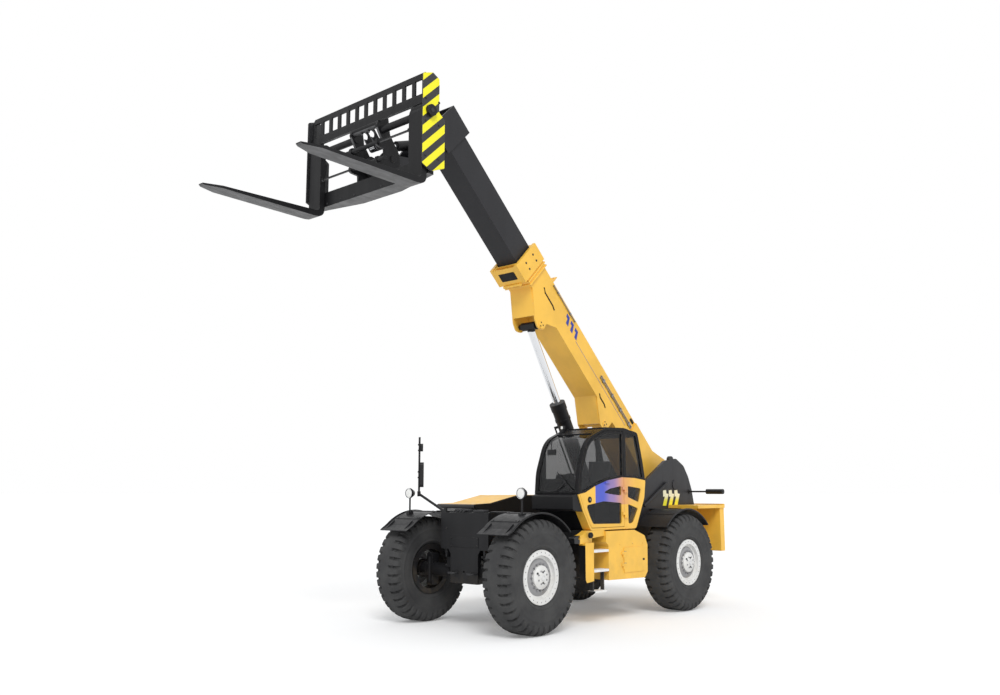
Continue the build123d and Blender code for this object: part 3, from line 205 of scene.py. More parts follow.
YELLOW = srgb(252, 198, 76)
BLUE = srgb(74, 90, 200)
BLACK = srgb(27, 27, 29)
DUST = srgb(150, 132, 104)
FRAME_BLACK = srgb(24, 24, 26)
YELLOW_WEAR = srgb(210, 190, 150)
GREY_WEAR = srgb(120, 116, 112)
CHROME = (0.86, 0.87, 0.89)


# ---- materials
def shade(m, color, rough, gloss=0.5, radius=0.004, wear=None, peel=220.0, peel_depth=0.12,
          dust=0.25, dust_top=0.9, variation=0.07):
    """Finish shared by the paints: tone drift, rubbed edges, dust low down, fine bump."""
    soft = m.noise(1.7, 4.0, 0.6)
    fine = m.noise(38.0, 4.0, 0.6)
    drift = m.ramp(soft, 0.35, 0.65)
    dark = m.mix(variation * 2, color, (0.0, 0.0, 0.0))
    tone = m.mix(m.mul(drift, 0.8), color, dark)
    round_normal = m.bevel(radius)
    edge = m.edge(round_normal)
    if wear is not None:
        chips = m.mul(edge, m.ramp(fine, 0.52, 0.62))
        tone = m.mix(chips, tone, wear)
    low = m.ramp(m.axis(2), dust_top, 0.25)
    grime = m.mul(m.mul(low, m.ramp(m.noise(6.0, 5.0, 0.65), 0.35, 0.7)),
                   dust)
    tone = m.mix(grime, tone, DUST)
    streak = m.noise(9.0, 3.0, 0.6, (1.0, 1.0, 0.12))
    roughness = m.add(m.mul(m.ramp(streak, 0.3, 0.75), 0.14), rough - 0.05)
    roughness = m.add(roughness, m.mul(grime, 0.8), clamp=True)
    skin = m.noise(peel, 2.0, 0.5)
    normal = m.bump(skin, peel_depth, 0.001, round_normal)
    return m.set(Base_Color=tone, Roughness=roughness, Normal=normal, Specular_IOR_Level=gloss)


def paint(name, color, rough=0.38, **more):
    return shade(Mat(name), color, rough, **more)


BELT = (  # lines over the cab's belt, measured from the door's hinge: x, z, slope
    (0.766, 2.080, -0.406), (0.449, 2.170, -0.284), (0.039, 2.225, -0.134),
    (0.039, 2.225, 0.0208), (-0.298, 2.218, 0.12),
)

def cab_paint():
    """Yellow with a blue patch that fades along the band between the door's panes."""
    m = Mat("cab_paint")
    origin = JOINTS["cab_door_swing"]["pos_m"]
    x = m.sub(m.axis(0), origin[0])
    z = m.axis(2)
    # The patch is on the door's outside, behind its front edge.
    fade = m.ramp(x, -0.42, 0.22)
    front = m.lt(x, 0.752)
    above = m.gt(z, 1.80)
    outside = m.gt(m.axis(1), origin[1] - 0.03)
    mask = m.mul(m.mul(fade, front), m.mul(above, outside))
    tint = m.mix(m.ramp(x, -0.02, 0.32), srgb(228, 158, 116), srgb(150, 126, 182))
    tint = m.mix(m.ramp(x, 0.34, 0.56), tint, BLUE)
    color = m.mix(mask, YELLOW, tint)
    # Above the lowest of the belt's lines, which never drops under the sill's, it is black.
    belt = None
    for x0, z0, slope in BELT:
        line = m.add(z0 - slope * x0, m.mul(x, slope))
        belt = line if belt is None else m.math("MINIMUM", belt, line)
    low = m.add(1.985 + 0.15, m.mul(x, -0.15))
    belt = m.either(belt, low)
    dark = m.gt(z, m.add(belt, 0.003))
    # So are the faces inside the door's plane, but not the corner post, right and back walls.
    inner = m.lt(m.axis(1), origin[1] - 0.075)
    corner = m.mul(m.gt(m.normal_axis(0), 0.2),
                    m.gt(m.axis(1), origin[1] - 0.17))
    right = m.mul(m.lt(m.normal_axis(1), -0.5),
                   m.lt(m.axis(1), 0.41))
    back = m.mul(m.lt(m.normal_axis(0), -0.3),
                  m.lt(x, -0.2))
    outer = m.either(corner, m.either(right, back))
    inner = m.mul(inner, m.sub(1.0, outer))
    black = m.either(dark, inner)
    color = m.mix(black, color, FRAME_BLACK)
    gloss = m.sub(0.5, m.mul(black, 0.36))
    return shade(m, color, 0.34, gloss=gloss, wear=YELLOW_WEAR, dust=0.2, dust_top=1.5)


def hood_paint():
    """Yellow lid whose front face and underside are black; its inward wall is black too, partly
    paint and partly painted shade for the dark gap beside the boom.
    """
    m = Mat("hood_paint")
    ahead = m.gt(m.normal_axis(0), 0.25)
    below = m.lt(m.normal_axis(2), -0.3)
    # Painted shade in part: the inward wall's black also stands for the dark gap beside the boom.
    inward = m.gt(m.normal_axis(1), 0.5)
    mask = m.either(ahead, m.either(below, inward))
    return shade(m, m.mix(mask, YELLOW, BLACK), 0.36, wear=YELLOW_WEAR, dust=0.15)


def box_paint():
    """Yellow box whose inner front wall is black."""
    m = Mat("box_paint")
    mask = m.mul(m.gt(m.normal_axis(0), 0.5),
                  m.lt(m.axis(1), 0.95))
    return shade(m, m.mix(mask, YELLOW, BLACK), 0.36, wear=YELLOW_WEAR, dust=0.22,
                 dust_top=1.6)


def fork_paint():
    """Black steel whose underside is a lighter, streaked grey: painted light, as if bounced up from
    the white floor.
    """
    m = Mat("fork_paint")
    # Painted light: downward faces take a lighter grey in place of light from the floor below.
    under = m.lt(m.normal_axis(2), -0.5)
    lit_underside_streaks = m.ramp(m.noise(11.0, 5.0, 0.6, (0.25, 1.0, 1.0)), 0.3, 0.75)
    painted_underside_light = m.mix(lit_underside_streaks, srgb(92, 92, 93), srgb(118, 118, 119))
    return shade(m, m.mix(under, srgb(24, 24, 26), painted_underside_light), 0.44, gloss=0.22, wear=GREY_WEAR,
                 dust=0.0)


def rod_paint():
    """Chromed rod with a black forged eye."""
    m = Mat("lift_rod")
    pin = boom_at(*LIFT_EYE, 0)
    parts = [m.sub(m.axis(i), pin[i]) for i in (0, 2)]
    far = m.math("SQRT", m.add(m.mul(parts[0], parts[0]),
                                m.mul(parts[1], parts[1])))
    eye = m.lt(far, ROD_EYE_R)
    lines = m.noise(40.0, 3.0, 0.6, (0.3, 8.0, 0.3))
    rough = m.ramp(lines, 0.25, 0.75, 0.05, 0.18)
    return m.set(Base_Color=m.mix(eye, CHROME, srgb(26, 26, 28)),
                 Metallic=m.sub(1.0, eye),
                 Roughness=m.add(rough, m.mul(eye, 0.35)),
                 Specular_IOR_Level=0.3, Normal=m.bump(lines, 0.02, 0.001, m.bevel(0.002)))


def ladder_paint():
    """Yellow ladder whose lowest step, inner edge and front faces are black."""
    m = Mat("ladder_paint")
    mask = m.lt(m.axis(2), 0.79)
    mask = m.mul(mask, m.lt(m.axis(0), -0.69))
    ahead = m.gt(m.normal_axis(0), 0.4)
    mask = m.either(mask, m.mul(ahead, m.lt(m.axis(2), 1.2)))
    mask = m.either(mask, m.lt(m.axis(1), 1.125))
    mask = m.either(mask, m.gt(m.axis(0), -0.385))
    return shade(m, m.mix(mask, YELLOW, BLACK), 0.4, wear=srgb(190, 180, 160), dust=0.3)


def slash_paint():
    """Decal that fades from cream at the top to yellow."""
    m = Mat("decal_yellow")
    top = PIVOT.z - 0.25
    fade = m.ramp(m.axis(2), top - 0.05, top + 0.06)
    color = m.mix(fade, srgb(250, 240, 40), srgb(250, 247, 214))
    return shade(m, color, 0.35, dust=0.0, peel_depth=0.04)


def hazard_paint():
    """Slanted yellow and black stripes."""
    m = Mat("hazard_paint")
    across = m.add(m.mul(m.axis(2), 0.732),
                    m.mul(m.axis(0), 0.681))
    wave = m.math("FRACT", m.add(m.math("DIVIDE", across, 0.185), 0.784))
    outward = m.mul(m.normal_axis(1), m.axis(1))
    mask = m.either(m.ramp(wave, 0.497, 0.503), m.lt(outward, 0.3))
    color = m.mix(mask, srgb(255, 246, 36), srgb(40, 40, 42))
    return shade(m, color, 0.4, wear=srgb(200, 196, 170), dust=0.0, variation=0.03)


def rim_paint(center):
    """White wheel with a grey ring round its hub, black on the side towards the machine, and dust
    low down.
    """
    m = Mat("rim_paint_" + str(int(center[0] * 100)) + "_" + str(int(center[1] * 100)))
    x = m.sub(m.axis(0), center[0])
    z = m.sub(m.axis(2), center[2])
    r = m.math("SQRT", m.add(m.mul(x, x), m.mul(z, z)))
    ring = m.mul(m.gt(r, 0.168), m.lt(r, 0.262))
    color = m.mix(ring, srgb(232, 232, 230), srgb(150, 150, 152))
    inside = m.mul(m.sub(m.axis(1), center[1]),
                    1.0 if center[1] > 0 else -1.0)
    dark = m.lt(inside, 0.02)
    color = m.mix(dark, color, BLACK)
    return shade(m, color, 0.42, wear=srgb(150, 140, 130), dust=0.22, dust_top=1.4,
                 variation=0.04)


def rubber():
    """Tyre rubber with specks of dust all over and worn, greyer lug edges."""
    m = Mat("tyre_rubber")
    base = m.mix(m.ramp(m.noise(3.0, 5.0, 0.6), 0.3, 0.7), srgb(56, 56, 57), srgb(70, 70, 70))
    speck = m.ramp(m.noise(160.0, 3.0, 0.7), 0.55, 0.75)
    base = m.mix(m.mul(speck, 0.12), base, srgb(120, 112, 100))
    round_normal = m.bevel(0.006)
    edge = m.edge(round_normal)
    base = m.mix(m.mul(edge, 0.25), base, srgb(96, 94, 92))
    height = m.add(m.noise(90.0, 4.0, 0.6), m.noise(12.0, 2.0, 0.5))
    return m.set(Base_Color=base, Normal=m.bump(height, 0.25, 0.003, round_normal),
                 Roughness=m.ramp(m.noise(7.0, 3.0, 0.6), 0.2, 0.8, 0.72, 0.9),
                 Specular_IOR_Level=0.3)


def moulded(name, color, rough=0.6, grain=420.0):
    """Moulded plastic or rubber with a fine leather-like grain."""
    m = Mat(name)
    tone = m.mix(m.ramp(m.noise(4.0, 4.0, 0.6), 0.35, 0.7), color,
                 tuple(c * 1.25 + 0.002 for c in color))
    cells = m.new("TexVoronoi")
    cells.inputs["Scale"].default_value = grain
    m.link(m.coords, cells.inputs["Vector"])
    round_normal = m.bevel(0.003)
    return m.set(Base_Color=tone, Specular_IOR_Level=0.28,
                 Roughness=m.ramp(m.noise(14.0, 3.0, 0.6), 0.3, 0.7, rough - 0.07, rough + 0.07),
                 Normal=m.bump(cells.outputs["Distance"], 0.25, 0.001, round_normal))


def metal(name, color, rough, brushed=(1.0, 1.0, 1.0), scale=60.0, metallic=1.0, depth=0.08):
    m = Mat(name)
    lines = m.noise(scale, 3.0, 0.6, brushed)
    tone = m.mix(m.ramp(m.noise(3.5, 4.0, 0.6), 0.35, 0.7), color, tuple(c * 0.8 for c in color))
    return m.set(Base_Color=tone, Metallic=metallic,
                 Roughness=m.ramp(lines, 0.25, 0.75, max(rough - 0.06, 0.02), rough + 0.08),
                 Normal=m.bump(lines, depth, 0.001, m.bevel(0.002)))


def glass():
    """Tinted cab glass, faintly smeared."""
    m = Mat("cab_glass")
    smear = m.noise(5.0, 4.0, 0.7, (1.0, 1.0, 0.3))
    tint = m.mix(m.ramp(smear, 0.3, 0.8), srgb(20, 22, 25), srgb(34, 36, 38))
    return m.set(Base_Color=tint, Alpha=0.40, Specular_IOR_Level=0.5,
                 Roughness=m.ramp(smear, 0.4, 0.9, 0.02, 0.08))


def cloth(name, color):
    """Woven seat cloth."""
    m = Mat(name)
    waves = []
    for direction in ("X", "Z"):
        wave = m.new("TexWave")
        wave.bands_direction = direction
        wave.inputs["Scale"].default_value = 190.0
        wave.inputs["Distortion"].default_value = 0.6
        m.link(m.coords, wave.inputs["Vector"])
        waves.append(wave.outputs["Fac"])
    weave = m.mul(waves[0], waves[1])
    tone = m.mix(m.mul(weave, 0.6), color, tuple(c * 2.2 + 0.01 for c in color))
    tone = m.mix(m.ramp(m.noise(7.0, 3.0, 0.6), 0.4, 0.75, 0.0, 0.35), tone, srgb(74, 72, 70))
    return m.set(Base_Color=tone, Roughness=m.ramp(weave, 0.0, 1.0, 0.95, 0.8),
                 Normal=m.bump(weave, 0.5, 0.0015), Sheen_Weight=0.35)


def lamp(name, color):
    """Ribbed lamp lens."""
    m = Mat(name)
    wave = m.new("TexWave")
    wave.inputs["Scale"].default_value = 42.0
    wave.bands_direction = "Z"
    m.link(m.coords, wave.inputs["Vector"])
    tone = m.mix(m.mul(wave.outputs["Fac"], 0.35), color,
                 tuple(min(1.0, c * 1.4 + 0.05) for c in color))
    return m.set(Base_Color=tone, Roughness=m.ramp(m.noise(20.0), 0.2, 0.8, 0.06, 0.16),
                 Normal=m.bump(wave.outputs["Fac"], 0.4, 0.002), Coat_Weight=0.6)


def tread_metal():
    """Pale anti-slip plate with rows of raised studs."""
    m = Mat("tread_metal")
    cells = m.new("TexVoronoi")
    cells.inputs["Scale"].default_value = 55.0
    cells.inputs["Randomness"].default_value = 0.0
    m.link(m.coords, cells.inputs["Vector"])
    dots = m.ramp(cells.outputs["Distance"], 0.45, 0.2)
    tone = m.mix(dots, srgb(236, 236, 235), srgb(252, 252, 252))
    tone = m.mix(m.ramp(m.noise(14.0, 4.0), 0.5, 0.8, 0.0, 0.2), tone, DUST)
    return m.set(Base_Color=tone, Metallic=0.0, Roughness=m.ramp(m.noise(30.0), 0.2, 0.8, 0.3, 0.5),
                 Normal=m.bump(dots, 0.8, 0.003, m.bevel(0.002)))


M = {
    "yellow": paint("machine_yellow", YELLOW, 0.36, wear=YELLOW_WEAR, dust=0.22,
                    dust_top=1.6),
    "boom": paint("boom_paint", YELLOW, 0.34, wear=srgb(205, 190, 160), dust=0.0),
    "cab": cab_paint(),
    "hood": hood_paint(),
    "ladder": ladder_paint(),
    "box": box_paint(),
    "hazard": hazard_paint(),
    "black": paint("frame_black", BLACK, 0.42, gloss=0.24, wear=GREY_WEAR, dust=0.3),
    "tower": paint("tower_black", srgb(46, 46, 49), 0.4, gloss=0.3, wear=GREY_WEAR, dust=0.1),
    "cabframe": paint("cab_frame_black", FRAME_BLACK, 0.26, gloss=0.14, wear=GREY_WEAR, dust=0.0),
    "grey": paint("boom_grey", srgb(44, 44, 47), 0.4, gloss=0.24, wear=srgb(96, 96, 98), dust=0.0),
    "white": paint("hub_white", srgb(226, 226, 225), 0.4, wear=srgb(150, 140, 130), dust=0.1),
    "fork": fork_paint(),
    "lift_rod": rod_paint(),
    "cast": metal("cast_iron", srgb(50, 50, 52), 0.6, (1.0, 1.0, 1.0), 120.0, 0.2, 0.5),
    "chrome": metal("chrome_rod", CHROME, 0.1, (0.3, 8.0, 0.3), 40.0, 1.0, 0.02),
    "steel": metal("bolt_steel", srgb(150, 150, 152), 0.35, (1.0, 1.0, 1.0), 90.0, 0.9, 0.15),
    "rubber": rubber(),
    "plastic": moulded("black_plastic", srgb(27, 27, 29), 0.42),
    "trim": moulded("black_trim", srgb(22, 22, 23), 0.6, 260.0),
    "screen": metal("dark_screen", srgb(14, 18, 22), 0.12, scale=8.0, metallic=0.0, depth=0.0),
    "glass": glass(),
    "cloth": cloth("seat_cloth", srgb(48, 48, 52)),
    "lens": lamp("clear_lens", srgb(244, 244, 240)),
    "amber": lamp("amber_lens", srgb(240, 140, 20)),
    "red": lamp("red_lens", srgb(180, 20, 16)),
    "mirror": metal("mirror_glass", (0.85, 0.87, 0.88), 0.06, scale=5.0, depth=0.0),
    "tread": tread_metal(),
    "blue": paint("decal_blue", srgb(40, 60, 160), 0.35, dust=0.0, peel_depth=0.04),
    "decal_yellow": slash_paint(),
}

CAD_LOOKS = {  # material: starts of the names of its nodes, where the longest match counts
    # engine_bay is black; on its inner wall near the cab that black is partly painted shade.
    "black": "axle knuckle cab_cowl chassis_frame engine_bay load_backrest fork_shaft "
             "fork_positioners lift_barrel tilt_barrel seat_base",
    "yellow": "boom_collar counterweight",
    "grey": "boom_head inner_boom",
    "tower": "boom_pivot_pin boom_tower",
    "steel": "boom_pipes",
    "cab": "cab_shell cab_door",
    "cabframe": "cab_frame",
    "glass": "cab_glass cab_door_glass",
    "cast": "engine_block",
    "hood": "engine_hood",
    "plastic": "fender slide_pads steering_console headlights front_mirror rear_mirror work_light",
    "fork": "fork_carriage fork_left fork_right",
    "hazard": "hazard_plate",
    "ladder": "ladder",
    "lift_rod": "lift_rod",
    "chrome": "tilt_rod",
    "boom": "outer_boom",
    "cloth": "seat",
    "box": "side_box",
}
CAD_STARTS = {start: look for look, starts in CAD_LOOKS.items() for start in starts.split()}


def dress(obj, material):
    obj.data.materials.clear()
    obj.data.materials.append(material)


for node_name, node in NODES.items():
    if node_name.startswith("rim_"):
        joint = JOINTS["roll_" + node_name[4:]]
        dress(node, rim_paint(joint["pos_m"]))
        continue
    start = max((s for s in CAD_STARTS if node_name.startswith(s)), key=len, default="")
    dress(node, M[CAD_STARTS.get(start, "rubber")])


# ---- shape helpers
def place(name, data):
    """Object in the scene for a mesh, camera or light."""
    obj = bpy.data.objects.new(name, data)
    bpy.context.scene.collection.objects.link(obj)
    return obj


def piece(name, bm, look, body="chassis", smooth=35.0):
    """Turns a bmesh into a piece that rides on a body, with a material of M."""
    bmesh.ops.remove_doubles(bm, verts=bm.verts, dist=1e-6)
    bmesh.ops.recalc_face_normals(bm, faces=bm.faces)
    mesh = bpy.data.meshes.new(name)
    bm.to_mesh(mesh)
    bm.free()
    obj = place(name, mesh)
    mesh.materials.append(M[look])
    if smooth:
        mesh.polygons.foreach_set("use_smooth", [True] * len(mesh.polygons))
        mesh.set_sharp_from_angle(angle=math.radians(smooth))
    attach(obj, body)
    return obj


def polar(radius, angle, y):
    """Offset at an angle about a Y axis."""
    return Vector((radius * math.cos(angle), y, radius * math.sin(angle)))


def frame_at(origin, axis):
    """Matrix that puts local Z on the axis at the origin."""
    turn = Vector(axis).to_track_quat("Z", "Y").to_matrix().to_4x4()
    return Matrix.Translation(Vector(origin)) @ turn


def skin(bm, rings, caps=True):
    """Faces between rings of vertices, with a cap over the first and the last."""
    count = len(rings[0])
    for low, high in zip(rings, rings[1:]):
        for i in range(count):
            j = (i + 1) % count
            bm.faces.new((low[i], low[j], high[j], high[i]))
    if caps:
        bm.faces.new(list(reversed(rings[0])))
        bm.faces.new(rings[-1])


def add_lathe(bm, profile, matrix, count=24, caps=True):
    """Solid of revolution about local Z from (radius, height) pairs, first to last."""
    rings = []
    for radius, height in profile:
        ring = []
        for i in range(count):
            angle = 2 * math.pi * i / count
            point = Vector((radius * math.cos(angle), radius * math.sin(angle), height))
            ring.append(bm.verts.new(matrix @ point))
        rings.append(ring)
    skin(bm, rings, caps)


def add_bolt(bm, origin, axis, radius=0.012, height=0.009, washer=True):
    """Hexagon bolt head on its washer."""
    at = frame_at(origin, axis)
    if washer:
        add_lathe(bm, [(radius * 1.45, -0.001), (radius * 1.45, height * 0.22)], at, 20)
    add_lathe(bm, [(radius, 0.0), (radius, height * 0.85), (radius * 0.86, height)], at, 6)
    add_lathe(bm, [(radius * 0.5, height * 0.5), (radius * 0.5, height * 1.15)], at, 12)


def add_prism(bm, outline, matrix, thick, bevel=0.0):
    """Plate with an outline in local X and Y, from z 0 to thick, its top edge chamfered."""
    count = len(outline)
    levels = [(0.0, 0.0), (0.0, thick - bevel)]
    if bevel:
        levels.append((bevel, thick))
    cx = sum(p[0] for p in outline) / count
    cy = sum(p[1] for p in outline) / count
    rings = []
    for inset, z in levels:
        ring = []
        for x, y in outline:
            away = Vector((x - cx, y - cy, 0))
            pull = away.normalized() * inset
            ring.append(bm.verts.new(matrix @ Vector((x - pull.x, y - pull.y, z))))
        rings.append(ring)
    skin(bm, rings)


def rounded(width, height, radius, steps=4):
    """Outline of a rounded rectangle about the origin."""
    points = []
    for cx, cy, start in ((1, 1, 0), (-1, 1, 90), (-1, -1, 180), (1, -1, 270)):
        for i in range(steps + 1):
            angle = math.radians(start + 90 * i / steps)
            points.append((cx * (width / 2 - radius) + radius * math.cos(angle),
                           cy * (height / 2 - radius) + radius * math.sin(angle)))
    return points


def add_tube(bm, path, radius, count=10):
    """Round tube along a path of points, closed at both ends."""
    points = [Vector(p) for p in path]
    rings = []
    for i, point in enumerate(points):
        before = points[max(i - 1, 0)]
        after = points[min(i + 1, len(points) - 1)]
        at = frame_at(point, after - before)
        rings.append([bm.verts.new(at @ Vector((radius * math.cos(a), radius * math.sin(a), 0)))
                      for a in (2 * math.pi * k / count for k in range(count))])
    for low, high in zip(rings, rings[1:]):
        shift = min(range(count), key=lambda s: (low[0].co - high[s].co).length)
        skin(bm, (low, high[shift:] + high[:shift]), caps=False)
    bm.faces.new(list(reversed(rings[0])))
    bm.faces.new(rings[-1])


def axes(origin, x_dir, y_dir):
    """Matrix with local X and Y along two row directions."""
    x, y = Vector(x_dir).normalized(), Vector(y_dir).normalized()
    z = x.cross(y)
    matrix = Matrix((x, y, z)).transposed().to_4x4()
    return Matrix.Translation(Vector(origin)) @ matrix


# ---- tyres
LUGS, GROOVE = 38, 0.034
SPINS = 12                  # rings of vertices in one lug's pitch
GROOVE_HALF, GROOVE_RAMP = 0.175, 0.05   # in pitches


def tyre_profile():
    """(radius, y, share of groove depth) from the inner bead over the tread to the outer one."""
    wall = [
        (0.3215, 0.180), (0.352, 0.1805), (0.388, 0.1815), (0.396, 0.196), (0.410, 0.214),
        (0.424, 0.2215), (0.430, 0.228), (0.444, 0.2305), (0.452, 0.2275), (0.480, 0.235),
        (0.520, 0.2405), (0.560, 0.2430), (0.600, 0.2440), (0.606, 0.2465), (0.616, 0.2465),
        (0.622, 0.2440), (0.660, 0.2430),
    ]
    tread = [
        (0.672, 0.2430, 0.05), (0.690, 0.2445, 0.55), (0.715, 0.2435, 0.9), (0.742, 0.2370, 1.0),
        (0.762, 0.2200, 1.0), (0.778, 0.2030, 1.0), (0.792, 0.1850, 1.0), (0.8000, 0.170, 1.0),
        (0.804, 0.150, 1.0), (0.8065, 0.120, 1.0), (0.807, 0.098, 1.0), (0.8072, 0.088, 0.12),
        (0.8074, 0.075, 0.0), (0.8074, 0.030, 0.0), (0.8074, 0.010, 0.0),
    ]
    side = [(r, y, 0.0) for r, y in wall] + tread
    return side + [(r, -y, d) for r, y, d in reversed(side)]


def tyre(corner):
    """Tyre with slanted lugs that are half a pitch apart from side to side."""
    centre = Vector(JOINTS["roll_" + corner]["pos_m"])
    profile = tyre_profile()
    bm = bmesh.new()
    rings = []
    for k in range(LUGS * SPINS):
        pitch = (k % SPINS) / SPINS
        ring = []
        for r, y, share in profile:
            phase = (pitch + (0.0 if y > 0 else 0.5)) % 1.0
            lean = 0.05 * (abs(y) - 0.1) / 0.15
            gap = min(abs(phase - 0.5 + lean), 1.0)
            depth = GROOVE * share * max(0.0, min(1.0, (GROOVE_HALF - gap) / GROOVE_RAMP))
            angle = 2 * math.pi * k / (LUGS * SPINS)
            inward = depth if r > 0.75 else depth * 0.15
            side_in = depth * 0.75 if r < 0.80 else 0.0
            y_new = y - math.copysign(side_in, y)
            radius = r - inward
            ring.append(bm.verts.new((centre.x + radius * math.cos(angle), centre.y + y_new,
                                      centre.z + radius * math.sin(angle))))
        rings.append(ring)
    skin(bm, rings + rings[:1], caps=False)
    obj = piece("tyre_tread_" + corner, bm, "rubber", "wheel_" + corner, 32.0)
    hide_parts("tyre_" + corner)


# ---- wheel trim
def wheel_trim(corner):
    """Wheel, hub and rim bolts, the hub cap and its plugs."""
    centre = Vector(JOINTS["roll_" + corner]["pos_m"])
    out = math.copysign(1.0, centre.y)
    bm = bmesh.new()

    def ring(count, radius, y, size, height, offset=0.0):
        for i in range(count):
            angle = 2 * math.pi * (i + offset) / count
            spot = centre + polar(radius, angle, out * y)
            add_bolt(bm, spot, (0, out, 0), size, height)

    ring(16, 0.187, 0.174, 0.013, 0.020)
    ring(8, 0.092, 0.2270, 0.009, 0.008, 0.5)
    ring(24, 0.345, 0.1995, 0.006, 0.004)
    piece("wheel_bolts_" + corner, bm, "steel", "wheel_" + corner)
    bm = bmesh.new()
    at = frame_at(centre + Vector((0, out * 0.229, 0)), (0, out, 0))
    add_lathe(bm, [(0.046, -0.004), (0.046, 0.008), (0.040, 0.013), (0.024, 0.013),
                   (0.022, 0.009), (0.004, 0.009)], at, 36)
    piece("hub_cap_" + corner, bm, "white", "wheel_" + corner)
    bm = bmesh.new()
    for angle, radius in ((math.pi / 2, 0.074), (-math.pi / 2, 0.074), (0.5, 0.126)):
        spot = centre + polar(radius, angle, out * 0.222)
        add_lathe(bm, [(0.014, 0), (0.014, 0.012), (0.011, 0.015)],
                  frame_at(spot, (0, out, 0)), 14)
    piece("hub_plugs_" + corner, bm, "black", "wheel_" + corner)


def boom_side(a, p, side, off=0.0):
    """Frame on the boom's side face: local X along the boom, local Y up across it."""
    y = side * (BOOM_HALF + off)
    if side > 0:
        return axes(boom_at(a, p, y), -ALONG, RAISE)
    return axes(boom_at(a, p, y), ALONG, RAISE)


# ---- boom decals
def boom_decals():
    """Three slashes and a thin line on each side of the boom."""
    for side, label in ((1, "left"), (-1, "right")):
        flip = -1 if side > 0 else 1
        bm = bmesh.new()
        for i in range(3):
            a = 3.79 - SLASH_PITCH * i
            lean = [(-0.045, -0.075), (0.035, -0.075), (0.062, 0.015), (0.108, 0.015),
                    (0.128, 0.075), (0.030, 0.075)]
            outline = [(flip * x, y) for x, y in lean]
            if flip < 0:
                outline.reverse()
            add_prism(bm, outline, boom_side(a, 0.115, side), DECAL_T)
        line = [(-0.98, -0.004), (0.98, -0.004), (0.98, 0.004), (-0.98, 0.004)]
        add_prism(bm, line, boom_side(2.46, 0.02, side), DECAL_T)
        piece("boom_slashes_" + label, bm, "blue", "boom", 0)


def boom_slot_shadows_and_covers():
    """Dark ridges as painted shadow in the cheek plates' weld slots, and the collar's window plate
    and root covers.
    """
    bm = bmesh.new()
    for side in (-1, 1):
        # Painted shadow: dark tubes stand where the slot openings lie in shade.
        for path in (((4.600, 0.020), (4.520, -0.025), (4.250, -0.025), (4.170, -0.050)),
                     ((2.380, -0.130), (2.320, -0.165), (2.160, -0.165), (2.100, -0.190))):
            points = [boom_at(a, p, side * 0.2496) for a, p in path]
            add_tube(bm, points, 0.013, 8)
        at = boom_side(1.40, 0.222, side)
        add_prism(bm, rounded(0.11, 0.045, 0.010), at, 0.020, 0.004)
    low = boom_at(5.115, -0.330, 0)
    add_prism(bm, rounded(0.150, 0.340, 0.012), axes(low, ALONG, (0, -1, 0)), 0.004, 0.001)
    piece("boom_slot_shadows_and_covers", bm, "trim", "boom", 0)


def tower_decals():
    """Three slashes on the outside of each tower plate."""
    shape = [(-0.079, 0.136), (0.018, 0.144), (0.029, 0.080), (0.101, 0.072), (0.011, -0.140),
             (-0.097, -0.136), (-0.025, 0.024), (-0.079, 0.024)]
    for side, label in ((1, "left"), (-1, "right")):
        bm = bmesh.new()
        for i in range(3):
            spot = PIVOT + Vector((0.320 - 0.187 * i, side * 0.6, -0.238))
            at = axes(spot, (-side, 0, 0), (0, 0, 1))
            outline = [(side * x, y) for x, y in shape]
            if side > 0:
                outline.reverse()
            add_prism(bm, outline, at, DECAL_T)
        piece("tower_slashes_" + label, bm, "decal_yellow", "chassis", 0)


# ---- boom bolts
def boom_bolts():
    """Bolts on the collar and on the keepers of the boom's two cylinder pins."""
    bm = bmesh.new()
    for side in (-1, 1):
        for a, p in ((5.06, 0.14), (5.18, 0.14), (5.06, -0.10), (5.18, -0.10)):
            add_bolt(bm, boom_at(a, p, side * 0.295), (0, side, 0), 0.013, 0.010)
        for a, p, r in ((*LIFT_EYE, 0.036), (1.912, -0.40, 0.034)):
            for k in range(3):
                angle = 2 * math.pi * k / 3 + 0.5
                spot = boom_at(a + r * math.cos(angle), p + r * math.sin(angle), side * 0.262)
                add_bolt(bm, spot, (0, side, 0), 0.009, 0.007)
    piece("boom_bolts", bm, "cast", "boom")


# ---- lamps
def lamps():
    """Lens and chromed rim in each headlight's round mouth, found from the CAD node."""
    corners = [v.co.copy() for v in NODES["headlights"].data.vertices]
    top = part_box("headlights")[1][2]
    bm_lens, bm_ring = bmesh.new(), bmesh.new()
    for left in (True, False):
        points = [p for p in corners if (p.y > 0) == left and p.z > top - 0.165]
        front = max(p.x for p in points)
        rim_points = [p for p in points if p.x > front - 0.002]
        mid_y = (max(p.y for p in rim_points) + min(p.y for p in rim_points)) / 2
        mid_z = (max(p.z for p in rim_points) + min(p.z for p in rim_points)) / 2
        at = frame_at((front - 0.008, mid_y, mid_z), (1, 0, 0))
        add_lathe(bm_lens, [(0.0695, 0.0), (0.066, 0.004), (0.045, 0.007), (0.02, 0.0078),
                            (0.002, 0.008)], at, 32)
        add_lathe(bm_ring, [(0.0705, 0.006), (0.0795, 0.006), (0.0795, 0.0095),
                            (0.074, 0.0115), (0.0705, 0.0095)], at, 32, False)
    piece("headlight_lenses", bm_lens, "lens")
    piece("headlight_rims", bm_ring, "chrome")


